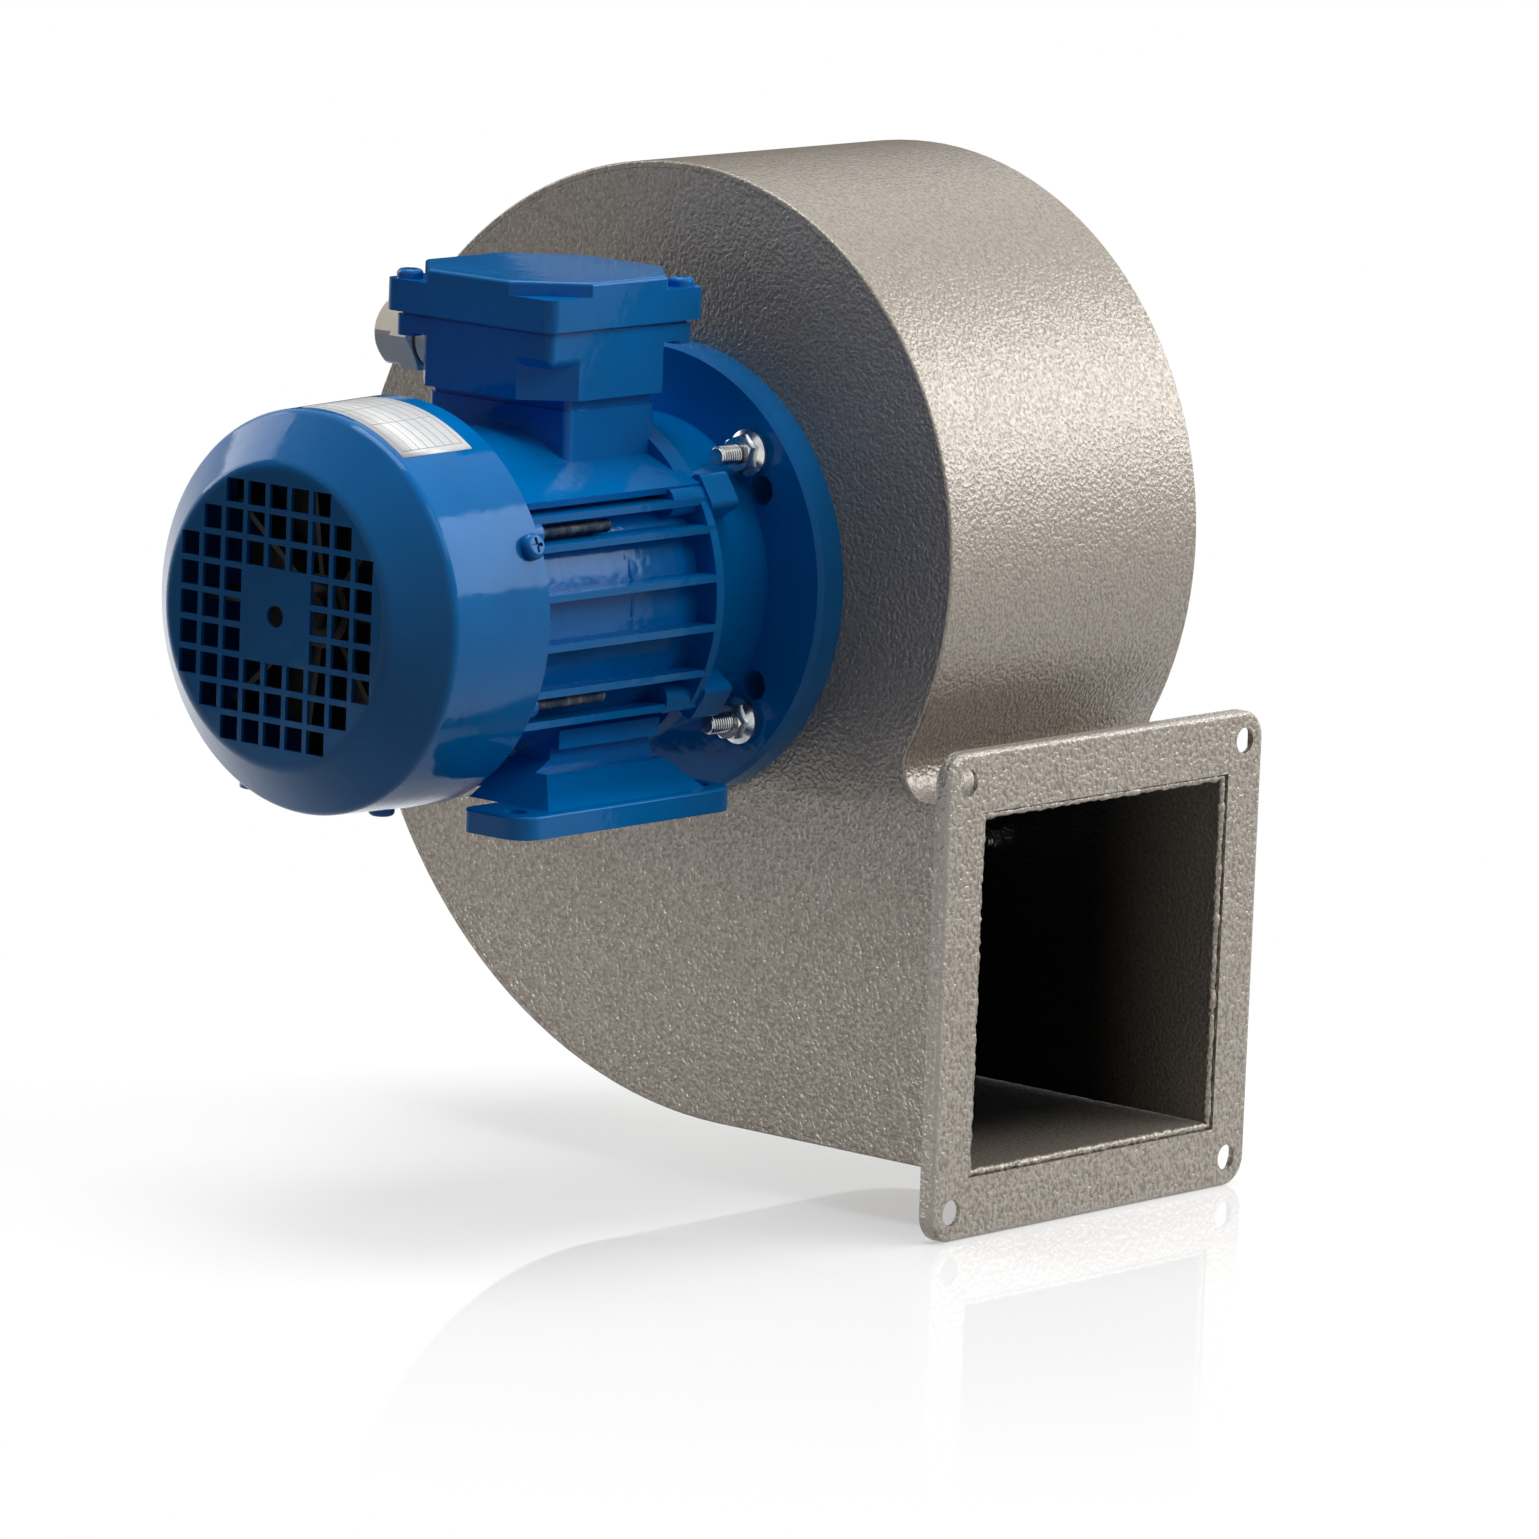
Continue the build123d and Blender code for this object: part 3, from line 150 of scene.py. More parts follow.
def paint_duct_shade(material, middle, mouth_x, reach, shade_colour):
    """Darkens the casing's inward-facing skin to near black as painted shade deep in the duct, falling in
    over reach from the outlet's mouth.
    """
    coordinates = add_node(material, "TexCoord").outputs
    outward = add_node(material, "VectorMath", {0: coordinates["Object"], 1: middle}, operation="SUBTRACT")
    facing = add_node(material, "VectorMath", {0: coordinates["Normal"], 1: outward.outputs["Vector"]},
                      operation="DOT_PRODUCT")
    inner = add_node(material, "Math", {0: facing.outputs["Value"], 1: 0.0}, operation="LESS_THAN")
    parts = add_node(material, "SeparateXYZ", {"Vector": coordinates["Object"]})
    depth = add_node(material, "MapRange", {"Value": parts.outputs["X"], "From Min": mouth_x,
                                            "From Max": mouth_x - reach}, interpolation_type="SMOOTHSTEP")
    share = add_node(material, "Math", {0: inner.outputs["Value"], 1: depth.outputs["Result"]},
                     operation="MULTIPLY")
    mixed = add_node(material, "MixRGB", {"Fac": share.outputs["Value"], "Color1": base_colour(material),
                                          "Color2": linear(shade_colour)})
    feed(material, Base_Color=mixed.outputs["Color"])


duct_low, duct_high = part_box("scroll_wrap")
sheet_look = (1.2, 0.42, "#857b70", "#998f83", "#a49b8f")
casing_enamel = hammer_enamel("hammer_enamel_sheet", *sheet_look)
volute_middle = Vector((0.02, (duct_low.y + duct_high.y) / 2, -0.02))
duct_shade_reach = 0.050                      # how far in from the outlet's mouth the painted shade takes to fall in
duct_shade_colour = "#100e0c"
# Painted shade: deep in the duct the casing's inner skin is coloured near black, for the shade that falls
# there.
paint_duct_shade(casing_enamel, volute_middle, duct_high.x, duct_shade_reach, duct_shade_colour)
paint(casing_enamel, "scroll_wrap", "motor_side_plate", "inlet_side_plate")
paint(hammer_enamel("hammer_enamel_ring", *sheet_look), "inlet_ring")


# Outlet flange: a square frame pressed from sheet, its rims turned back, holes punched for four bolts.
# The lacquer lies thick on its face, so the hammer relief is coarser there. Its outer rim is painted lighter,
# a painted highlight for the light its turned-back edges catch.
def rim_highlight_mask(material, low, high, reach):
    """How near a point is to the outlet frame's outer rim, 1 at the rim and 0 at reach inside it: the mask of
    the rim's painted highlight.
    """
    place = add_node(material, "TexCoord").outputs["Object"]
    parts = add_node(material, "SeparateXYZ", {"Vector": place})
    middle = (low + high) / 2
    half = (high - low) / 2
    far = []
    for axis, at in (("Y", middle.y), ("Z", middle.z)):
        away = add_node(material, "Math", {0: parts.outputs[axis], 1: at}, operation="SUBTRACT")
        size = add_node(material, "Math", {0: away.outputs["Value"]}, operation="ABSOLUTE")
        far.append(size.outputs["Value"])
    widest = add_node(material, "Math", {0: far[0], 1: far[1]}, operation="MAXIMUM").outputs["Value"]
    links = {"Value": widest, "From Min": half.y - reach, "From Max": half.y}
    return add_node(material, "MapRange", links, interpolation_type="SMOOTHSTEP").outputs["Result"]


flange_low, flange_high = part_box("outlet_flange")
flange_enamel = hammer_enamel("hammer_enamel_flange", 1.4, 0.66, "#82796d", "#a3998c", "#b2a99c")
rim_reach = 0.0028
rim_highlight_grey = "#aaa298"
rim_highlight = rim_highlight_mask(flange_enamel, flange_low, flange_high, rim_reach)
# Painted highlight: the rim's colour is mixed lighter towards its edge.
rim_highlighted = add_node(flange_enamel, "MixRGB", {"Fac": rim_highlight, "Color1": base_colour(flange_enamel),
                                          "Color2": linear(rim_highlight_grey)})
feed(flange_enamel, Base_Color=rim_highlighted.outputs["Color"])
paint(flange_enamel, "outlet_flange")


# Outlet weld: the duct's end is welded to the frame inside its opening, with an uneven hand-laid bead
# of steel that the same lacquer covers.
def new_piece(name, vertices, faces, material, smooth=True):
    """A mesh object with one material, lying in the object's own frame."""
    mesh = bpy.data.meshes.new(name)
    mesh.from_pydata(vertices, [], faces)
    mesh.validate()
    mesh.update()
    mesh.polygons.foreach_set("use_smooth", [smooth] * len(mesh.polygons))
    piece = bpy.data.objects.new(name, mesh)
    bpy.context.scene.collection.objects.link(piece)
    mesh.materials.append(material)
    return piece


def bead(name, route, radius, wander, material):
    """A weld bead: a tube along a closed route, its radius swelling and sinking from ripple to ripple."""
    sides = 8
    ripple = 400                         # noise steps a metre: one swelling every 2.5 mm
    fine_ripple = 1300
    duct_way = Vector((1, 0.02, 0.01))   # nearly along the duct
    vertices = []
    faces = []
    count = len(route)
    for i, here in enumerate(route):
        after = (i + 1) % count
        ahead = route[after] - route[i - 1]
        across = ahead.cross(duct_way).normalized()
        lift = ahead.cross(across).normalized()
        swell = noise.noise(here * ripple) + 0.5 * noise.noise(here * fine_ripple)
        reach = radius * (1 + wander * swell)
        for k in range(sides):
            turn = 2 * math.pi * k / sides
            beside = (k + 1) % sides
            vertices.append(here + (across * math.cos(turn) + lift * math.sin(turn)) * reach)
            faces.append((i * sides + k, i * sides + beside, after * sides + beside, after * sides + k))
    return new_piece(name, vertices, faces, material)


def along(corners, step):
    """Points every step along the straight runs between corners, and back to the first."""
    route = []
    for start, end in zip(corners, corners[1:] + corners[:1]):
        count = round((end - start).length / step)
        route += [start.lerp(end, i / count) for i in range(count)]
    return route


shaft_z = frame["joints"][0]["pos_m"][2]
throat_drop = 0.0578                     # shaft to the duct's top wall, outside
wall = 0.002
bead_r = 0.0012
bead_wander = 0.45
bead_step = 0.0009
weld_x = duct_high.x + 0.0003            # the bead's middle, just proud of the duct's end
weld_low_y = duct_low.y + wall / 2
weld_high_y = duct_high.y - wall / 2
weld_low_z = duct_low.z + wall / 2
weld_high_z = shaft_z - throat_drop - wall / 2
weld_corners = [Vector((weld_x, weld_low_y, weld_low_z)), Vector((weld_x, weld_high_y, weld_low_z)),
                Vector((weld_x, weld_high_y, weld_high_z)), Vector((weld_x, weld_low_y, weld_high_z))]
outlet_weld = bead("outlet_weld", along(weld_corners, bead_step), bead_r, bead_wander, flange_enamel)
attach(outlet_weld, "fan_housing")


# Flange bolts: four M6 x 30 bolts of zinc-plated steel, heads inside the casing, threads out towards the
# motor under flange nuts. The thread is rolled, its crests bright and its roots darkened with painted shade.
def zinc_plate(name, dark, grey, light, gloss):
    """Zinc plate: a fine grey metal with a faint cloudy passivation, and painted shade dark in its crevices.
    """
    crevice_shade = "#1b1e22"
    crevice_reach = 0.0010               # a surface nearer than this in front shades a crevice
    material = new_material(name, Metallic=1.0, Roughness=gloss)
    place = add_node(material, "TexCoord").outputs["Object"]
    cloud = add_node(material, "TexNoise", {"Vector": place, "Scale": per_mm(4), "Detail": 4.0})
    colour = add_node(material, "ValToRGB", {"Fac": cloud.outputs["Fac"]},
                      stops=((0.35, dark), (0.52, grey), (0.68, light)))
    marks = add_node(material, "TexNoise", {"Vector": place, "Scale": per_mm(0.6), "Detail": 3.0})
    bump = add_node(material, "Bump", {"Height": marks.outputs["Fac"], "Strength": 0.15, "Distance": 0.0001})
    sheen = add_node(material, "MapRange", {"Value": marks.outputs["Fac"], "To Min": gloss - 0.08,
                                            "To Max": gloss + 0.12})
    # Painted shade: crevices found by ambient occlusion are mixed towards near black.
    crevice = add_node(material, "AmbientOcclusion", {"Distance": crevice_reach})
    open_share = add_node(material, "MapRange", {"Value": crevice.outputs["AO"], "From Min": 0.45,
                                                 "From Max": 0.85})
    crevice_shaded = add_node(material, "MixRGB", {"Fac": open_share.outputs["Result"], "Color1": linear(crevice_shade),
                                           "Color2": colour.outputs["Color"]})
    feed(material, Base_Color=crevice_shaded.outputs["Color"], Normal=bump.outputs["Normal"],
         Roughness=sheen.outputs["Result"])
    return material


def skin(rings, sides):
    """Vertices and faces of a closed skin through rings, each a height and a radius for every angle."""
    vertices = []
    for height, radius in rings:
        for k in range(sides):
            turn = 2 * math.pi * k / sides
            reach = radius(turn, height)
            vertices.append(Vector((reach * math.cos(turn), reach * math.sin(turn), height)))
    faces = []
    for i in range(len(rings) - 1):
        for k in range(sides):
            after = (k + 1) % sides
            faces.append((i * sides + k, i * sides + after, (i + 1) * sides + after, (i + 1) * sides + k))
    faces.append(tuple(reversed(range(sides))))
    faces.append(tuple(range((len(rings) - 1) * sides, len(rings) * sides)))
    return vertices, faces


def plain_radius(size):
    """The same radius at every angle and height."""
    return lambda turn, height: size


def hexagon_radius(across, turn):
    """Distance from a hexagon's middle to its side at an angle."""
    sector = math.pi / 3
    return across / 2 / math.cos((turn + sector / 2) % sector - sector / 2)


def hexagon_head(across, head):
    """Rings of a hexagon head, its corners turned down towards its top, the seat at height 0."""
    corner_cut = 0.13 * across           # how much the turned cone takes off a corner at the top
    cone_slope = 1.6
    corner = across / math.sqrt(3)

    def radius(turn, height):
        return min(hexagon_radius(across, turn), corner - corner_cut + cone_slope * (height + head))

    levels = (-1.0, -0.85, -0.7, -0.3, 0.0)   # shares of the head, closer together where the cone cuts
    return [(share * head, radius) for share in levels]


def cylinder_head(radius, head):
    """Rings of a plain cylinder head with a small chamfer, the seat at height 0."""
    chamfer_r = 0.9 * radius
    chamfer_height = 0.07 * head
    return [(-head, plain_radius(chamfer_r)), (chamfer_height - head, plain_radius(radius)),
            (0.0, plain_radius(radius))]


def rolled_thread(plain, length, major, pitch, steps=8):
    """Rings of a shank, plain up to one height and threaded from there to its tip at length."""
    depth = 0.6 * pitch
    chamfer = 0.7 * pitch                # length over which the thread runs out at the tip
    flank = 2.6                          # 2 would give a sharp crest, a steeper flank leaves it flat
    root = major - depth

    def radius(turn, height):
        crest = min(1.0, flank * abs((height / pitch - turn / (2 * math.pi)) % 1.0 - 0.5))
        return root + depth * min(crest, (length - height) / chamfer)

    count = round((length - plain) / pitch * steps)
    rings = [(plain + (length - plain) * i / count, radius) for i in range(count + 1)]
    return [(0.0, plain_radius(major)), (plain, plain_radius(major))] + rings


def repeated(name, vertices, faces, places, material):
    """One piece that holds the same skin at several places."""
    all_vertices = []
    all_faces = []
    for place in places:
        start = len(all_vertices)
        all_vertices += [place @ vertex for vertex in vertices]
        all_faces += [tuple(start + i for i in face) for face in faces]
    return new_piece(name, all_vertices, all_faces, material, smooth=False)


def about_shaft(radius, turn, y):
    """A point on a circle about the shaft, its turn counted from the fan's right side upwards."""
    return Vector((radius * math.cos(turn), y, shaft_z + radius * math.sin(turn)))


zinc = zinc_plate("bright_zinc_plate", "#a9adb0", "#c6c9cb", "#dad9d4", 0.18)
bolt_across = 0.010
bolt_head = 0.004
bolt_major = 0.0030
bolt_pitch = 0.0010
bolt_plain = 0.012
bolt_length = 0.030
bolt_sides = 42
bolt_seat = 0.0036                       # casing's motor side to the washer under a head
bolt_circle = 0.0575
bolt_places = []
for quarter in range(4):
    turn = math.radians(45 + 90 * quarter)
    seat = about_shaft(bolt_circle, turn, duct_low.y + bolt_seat)
    bolt_places.append(Matrix.Translation(seat) @ Matrix.Rotation(math.radians(90), 4, "X")
                       @ Matrix.Rotation(turn, 4, "Z"))
bolt_rings = hexagon_head(bolt_across, bolt_head)
bolt_rings += rolled_thread(bolt_plain, bolt_length, bolt_major, bolt_pitch)
threaded_bolts = repeated("flange_bolts_threaded", *skin(bolt_rings, bolt_sides), bolt_places, zinc)
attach(threaded_bolts, "fan_housing")
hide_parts("flange_bolts")
paint(zinc, "flange_bolts", "flange_washers", "flange_nuts", "inlet_ring_screws", "inlet_weld_nuts",
      "foot_screws", "wheel_screw", "wheel_washer")


# Rear shield screws: four M4 x 45 cylinder-head screws, zinc-plated, that draw the rear shield onto the
# motor's frame. Their threads lie bare between the fins, tinted by the blue overspray, and their tones are
# darkened as painted shade for the shadow between the fins.
rear_head_r = 0.0035
rear_head = 0.004
rear_major = 0.0020
rear_pitch = 0.0007
rear_plain = 0.005
rear_length = 0.045
rear_sides = 20
rear_seat_y = -0.0465
rear_circle = 0.054
rear_angle = 28.0
rear_places = []
for angle in (rear_angle, -rear_angle, 180 - rear_angle, 180 + rear_angle):
    seat = about_shaft(rear_circle, math.radians(angle), rear_seat_y)
    rear_places.append(Matrix.Translation(seat) @ Matrix.Rotation(math.radians(-90), 4, "X"))
rear_rings = cylinder_head(rear_head_r, rear_head)
rear_rings += rolled_thread(rear_plain, rear_length, rear_major, rear_pitch, steps=6)
# Painted shade with overspray: dark bluish tones for threads lying in the shadow between the fins.
oversprayed_shaded_zinc = zinc_plate("zinc_plate_overspray_and_painted_shade", "#33465c", "#4d5661", "#7b8085", 0.42)
rear_skin = skin(rear_rings, rear_sides)
rear_screws = repeated("non_drive_end_screws_threaded", *rear_skin, rear_places, oversprayed_shaded_zinc)
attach(rear_screws, "fan_housing")
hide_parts("non_drive_end_screws")
paint(oversprayed_shaded_zinc, "non_drive_end_screws")


# Motor body: cast aluminium flange, bell, finned frame, feet and end shield, and the pressed steel fan
# cover, all sprayed together after assembly with glossy blue enamel. It flows out smooth, with only a
# slow orange peel, and wraps the screw heads too.
def blue_enamel(name, peel, strength, shine):
    """Glossy enamel: an even saturated blue under its own hard gloss, whose reflections are a little
    blue too and are rippled by the orange peel, so many mm from wave to wave."""
    material = new_material(name, Roughness=shine, IOR=1.5, Specular_IOR_Level=0.30,
                            Specular_Tint=linear("#a3bfe8"))
    place = add_node(material, "TexCoord").outputs["Object"]
    drift = add_node(material, "TexNoise", {"Vector": place, "Scale": per_mm(40), "Detail": 2.0})
    colour = add_node(material, "ValToRGB", {"Fac": drift.outputs["Fac"]},
                      stops=((0.3, "#006cb2"), (0.5, "#0072bc"), (0.7, "#0078c6")))
    waves = add_node(material, "TexNoise", {"Vector": place, "Scale": per_mm(peel), "Detail": 1.0})
    bump = add_node(material, "Bump", {"Height": waves.outputs["Fac"], "Strength": strength,
                                       "Distance": 0.001})
    gloss = add_node(material, "MapRange", {"Value": waves.outputs["Fac"], "From Min": 0.3, "From Max": 0.7,
                                            "To Min": shine - 0.03, "To Max": shine + 0.05})
    feed(material, Base_Color=colour.outputs["Color"], Normal=bump.outputs["Normal"],
         Roughness=gloss.outputs["Result"])
    return material


cast_enamel = blue_enamel("blue_enamel_on_casting", 4.0, 0.12, 0.12)
sheet_enamel = blue_enamel("blue_enamel_on_sheet", 5.0, 0.06, 0.08)
paint(cast_enamel, "drive_end_flange", "motor_frame", "foot_right", "foot_left", "non_drive_end_shield",
      "terminal_box_base", "terminal_box_lid", "terminal_box_lid_screws", "drive_end_screws",
      "fan_cover_screws", "terminal_box_gasket")
paint(sheet_enamel, "fan_cover")


# Paint runs: where the spray lay too thick between the side fins it ran down the barrel and hardened
# into two small drops, one above the fin at shaft height and one below it.
def paint_run(name, y, top, bottom, width):
    """A hardened drop on the barrel's right side: narrow at its top, fullest near its foot."""
    barrel_r = 0.0503
    rows = 16
    columns = 8
    belly = 1.6                          # over 1, so that the fullest place lies below the middle
    roundness = 0.6
    neck = 0.35                          # its width at the top, as a share of the foot's
    thickness = 0.35 * width
    sink = 0.0002
    vertices = []
    faces = []
    for i in range(rows + 1):
        down = i / rows
        full = math.sin(math.pi * down ** belly) ** roundness * (neck + (1 - neck) * down)
        height = top + (bottom - top) * down
        for k in range(columns + 1):
            side = 2 * k / columns - 1
            proud = thickness * full * (1 - side * side) - sink
            reach = math.sqrt(barrel_r ** 2 - height ** 2) + proud
            vertices.append((reach, y + side * width / 2 * full, shaft_z + height))
    for i in range(rows):
        for k in range(columns):
            a = i * (columns + 1) + k
            faces.append((a, a + columns + 1, a + columns + 2, a + 1))
    piece = new_piece(name, vertices, faces, cast_enamel)
    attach(piece, "fan_housing")


run_y = 0.0078
paint_run("paint_run_upper", run_y, top=0.0175, bottom=0.0082, width=0.0030)
paint_run("paint_run_lower", run_y, top=0.0066, bottom=-0.0030, width=0.0026)


# Rating label: a white vinyl sticker on top of the fan cover's side, kept blank but for the thin grey
# rules of an empty table. It follows the cover's curve and slight taper; the film has a faint gloss,
# the ink is matt.
def printed_film(name, grain, detail, dark, light, **look):
    """Smooth film or dry ink: one colour with a faint cloud, so many mm across."""
    material = new_material(name, **look)
    place = add_node(material, "TexCoord").outputs["Object"]
    cloud = add_node(material, "TexNoise", {"Vector": place, "Scale": per_mm(grain), "Detail": detail})
    tone = add_node(material, "ValToRGB", {"Fac": cloud.outputs["Fac"]}, stops=((0.3, dark), (0.7, light)))
    feed(material, Base_Color=tone.outputs["Color"])
    return material


cover_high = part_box("fan_cover")[1]
cover_rim_r = cover_high.x
cover_rim_y = cover_high.y
cover_draft = 0.0012                     # how much narrower the side is at the shoulder than at the rim
cover_side = 0.0389                      # from the rim back to the shoulder
cover_taper = cover_draft / cover_side
film_t = 0.0002
label_steps = 24


def label_grid(low_turn, high_turn, low_y, high_y, radius):
    """Vertices and faces of a patch on the cover's side, closed with a thin edge; turns in degrees."""
    vertices = []
    for layer in (radius, radius - film_t):
        for i in range(label_steps + 1):
            turn = math.radians(low_turn + (high_turn - low_turn) * i / label_steps)
            for y in (low_y, high_y):
                vertices.append(about_shaft(layer - cover_taper * (cover_rim_y - y), turn, y))
    under = 2 * (label_steps + 1)
    faces = []
    for i in range(label_steps):
        a = 2 * i
        faces.append((a, a + 1, a + 3, a + 2))
        faces.append((under + a, under + a + 2, under + a + 3, under + a + 1))
        faces.append((a, a + 2, under + a + 2, under + a))
        faces.append((a + 1, under + a + 1, under + a + 3, a + 3))
    last = 2 * label_steps
    faces.append((0, under, under + 1, 1))
    faces.append((last, last + 1, under + last + 1, under + last))
    return vertices, faces


white_vinyl = printed_film("white_vinyl", 3, 4.0, "#f0f1f1", "#f6f6f5", Roughness=0.35, Coat_Weight=0.3,
                           Coat_Roughness=0.1)
label_turns = (55.5, 97.0)
label_ys = (-0.0755, -0.0470)
label_proud = 0.00015
label_r = cover_rim_r + label_proud
label = new_piece("rating_label_blank", *label_grid(*label_turns, *label_ys, label_r), white_vinyl)
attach(label, "fan_housing")

rule_t = 0.00025
rule_proud = 0.00004
rule_r = label_r + rule_proud
rule_turn = math.degrees(rule_t / cover_rim_r)
rule_margin_turn = 2.5
rule_margin_y = 0.002
rule_turns = (label_turns[0] + rule_margin_turn, label_turns[1] - rule_margin_turn)
rule_ys = (label_ys[0] + rule_margin_y, label_ys[1] - rule_margin_y)
row_count = 7
column_shares = (0.0, 0.38, 0.7, 1.0)
rule_vertices = []
rule_faces = []


def add_rule(*limits):
    """One more thin printed line in the label's empty table."""
    vertices, faces = label_grid(*limits, rule_r)
    start = len(rule_vertices)
    rule_vertices.extend(vertices)
    rule_faces.extend([tuple(start + i for i in face) for face in faces])


for row in range(row_count + 1):
    y = rule_ys[0] + (rule_ys[1] - rule_ys[0]) * row / row_count
    add_rule(*rule_turns, y - rule_t / 2, y + rule_t / 2)
for share in column_shares:
    turn = rule_turns[0] + (rule_turns[1] - rule_turns[0]) * share
    add_rule(turn - rule_turn / 2, turn + rule_turn / 2, *rule_ys)
grey_ink = printed_film("grey_printed_rule", 0.8, 2.0, "#9a9c9f", "#b0b2b5", Roughness=0.5)
rules = new_piece("rating_label_rules", rule_vertices, rule_faces, grey_ink)
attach(rules, "fan_housing")


# Cooling fan: one moulding in black polypropylene, pressed onto the shaft's rear end. Matt and nearly
# black, so that it shows through the cover's grille only as a dark shape.
def moulded(name, colour, lighter, roughness, grain):
    """A moulded plastic or rubber: even colour, soft sheen, a fine mould texture grain mm across."""
    material = new_material(name, Roughness=roughness, IOR=1.49)
    place = add_node(material, "TexCoord").outputs["Object"]
    cloud = add_node(material, "TexNoise", {"Vector": place, "Scale": per_mm(14), "Detail": 3.0})
    pores = add_node(material, "TexNoise", {"Vector": place, "Scale": per_mm(grain), "Detail": 2.0})
    bump = add_node(material, "Bump", {"Height": pores.outputs["Fac"], "Strength": 0.12, "Distance": 0.0002})
    tone = add_node(material, "ValToRGB", {"Fac": cloud.outputs["Fac"]},
                    stops=((0.35, colour), (0.65, lighter)))
    sheen = add_node(material, "MapRange", {"Value": pores.outputs["Fac"], "To Min": roughness - 0.06,
                                            "To Max": roughness + 0.08})
    feed(material, Base_Color=tone.outputs["Color"], Normal=bump.outputs["Normal"],
         Roughness=sheen.outputs["Result"])
    return material


paint(moulded("black_polypropylene", "#0d0d0e", "#161617", 0.48, 0.8), "cooling_fan")


# Cable gland: body and clamping nut moulded in warm grey nylon, which keeps a soft sheen. It is screwed
# into the terminal box's left side. Its seal and insert, like the shaft's seal, are dull black rubber.
black_rubber = moulded("black_rubber", "#0b0b0b", "#151515", 0.62, 0.5)
paint(black_rubber, "cable_gland_seal", "cable_gland_insert", "shaft_seal")
paint(moulded("grey_nylon", "#e6dac6", "#eee4d2", 0.42, 0.6), "cable_gland_body", "cable_gland_nut")


# Terminal board: a brown phenolic moulding with a low sheen, on the terminal box's floor. Its studs are
# turned from brass, bright yellow. Both sit under the closed lid.
def band_scale(apart):
    """Wave scale for bands so many millimetres apart: at scale 1 they lie 2 pi / 20 metres apart."""
    return 2 * math.pi / 20 * 1000 / apart


def turned_metal(name, dark, light, roughness, ridge):
    """A turned or ground metal: rings across the shaft, so many mm apart. Real tool rings are far
    finer and would not show, so these are drawn as broad, shallow waves."""
    material = new_material(name, Metallic=1.0, Roughness=roughness)
    place = add_node(material, "TexCoord").outputs["Object"]
    rings = add_node(material, "TexWave", {"Vector": place, "Scale": band_scale(ridge), "Distortion": 0.4,
                                           "Detail": 1.0}, bands_direction="Y")
    cloud = add_node(material, "TexNoise", {"Vector": place, "Scale": per_mm(8), "Detail": 4.0})
    bump = add_node(material, "Bump", {"Height": rings.outputs["Fac"], "Strength": 0.08, "Distance": 0.0001})
    tone = add_node(material, "ValToRGB", {"Fac": cloud.outputs["Fac"]}, stops=((0.35, dark), (0.65, light)))
    sheen = add_node(material, "MapRange", {"Value": rings.outputs["Fac"], "To Min": roughness - 0.05,
                                            "To Max": roughness + 0.08})
    feed(material, Base_Color=tone.outputs["Color"], Normal=bump.outputs["Normal"],
         Roughness=sheen.outputs["Result"])
    return material


paint(moulded("brown_phenolic", "#4a2c18", "#5a3720", 0.38, 0.7), "terminal_board")
paint(turned_metal("turned_brass", "#b08a3e", "#cfae62", 0.28, 3.77), "terminal_studs")


# Stator and rotor core: electrical sheets stamped and stacked, grey at their cut edges. The coils' ends
# are enamelled copper wire, laid in bundles and soaked in varnish. All of it lies inside the frame.
def laminated(name):
    """Stacked steel sheets: grey metal ruled across the shaft. Sheets of 0.5 mm would not show, so the
    lines are drawn 6.28 mm apart."""
    material = new_material(name, Metallic=0.9, Roughness=0.42)
    place = add_node(material, "TexCoord").outputs["Object"]
    sheets = add_node(material, "TexWave", {"Vector": place, "Scale": band_scale(6.28), "Distortion": 0.1},
                      bands_direction="Y")
    bump = add_node(material, "Bump", {"Height": sheets.outputs["Fac"], "Strength": 0.3, "Distance": 0.0002})
    tone = add_node(material, "ValToRGB", {"Fac": sheets.outputs["Fac"]},
                    stops=((0.1, "#38383a"), (0.6, "#6b6b6d")))
    feed(material, Base_Color=tone.outputs["Color"], Normal=bump.outputs["Normal"])
    return material


def copper_ends():
    """Enamelled wire soaked in amber varnish: slanting bundles 10.05 mm from one to the next, as the
    single 0.8 mm wires would not show."""
    material = new_material("varnished_copper_wire", Metallic=0.7, Roughness=0.3, Coat_Weight=0.7,
                            Coat_Roughness=0.15)
    place = add_node(material, "TexCoord").outputs["Object"]
    wires = add_node(material, "TexWave", {"Vector": place, "Scale": band_scale(10.05), "Distortion": 3.0,
                                           "Detail": 2.0}, bands_direction="DIAGONAL")
    bump = add_node(material, "Bump", {"Height": wires.outputs["Fac"], "Strength": 0.8, "Distance": 0.0006})
    tone = add_node(material, "ValToRGB", {"Fac": wires.outputs["Fac"]},
                    stops=((0.1, "#5e2412"), (0.6, "#b5602c")))
    feed(material, Base_Color=tone.outputs["Color"], Normal=bump.outputs["Normal"])
    return material


paint(laminated("stacked_electrical_sheet"), "stator_core", "rotor_core")
paint(copper_ends(), "stator_winding")


# Shaft and bearings: bearing rings, balls, cages and the preload spring are ground steel, bright. The shaft,
# its key and the fan's clip are given a dark steel colour, painted shade for the dark inside of the fan
# cover, so that little shows through the grille.
ground_steel = turned_metal("ground_steel", "#9a9b9c", "#c4c5c6", 0.24, 3.14)
paint(ground_steel, "bearing_preload_spring",
      *[f"{end}_bearing_{part}" for end in ("drive_end", "non_drive_end")
        for part in ("outer_race", "inner_race", "balls", "cage")])
# Painted shade: a dark colour for steel that sits in the shade behind the grille.
shade_dark_steel = turned_metal("steel_painted_dark_for_shade", "#2e3033", "#44474b", 0.34, 3.14)
paint(shade_dark_steel, "motor_shaft", "shaft_key", "cooling_fan_clip")


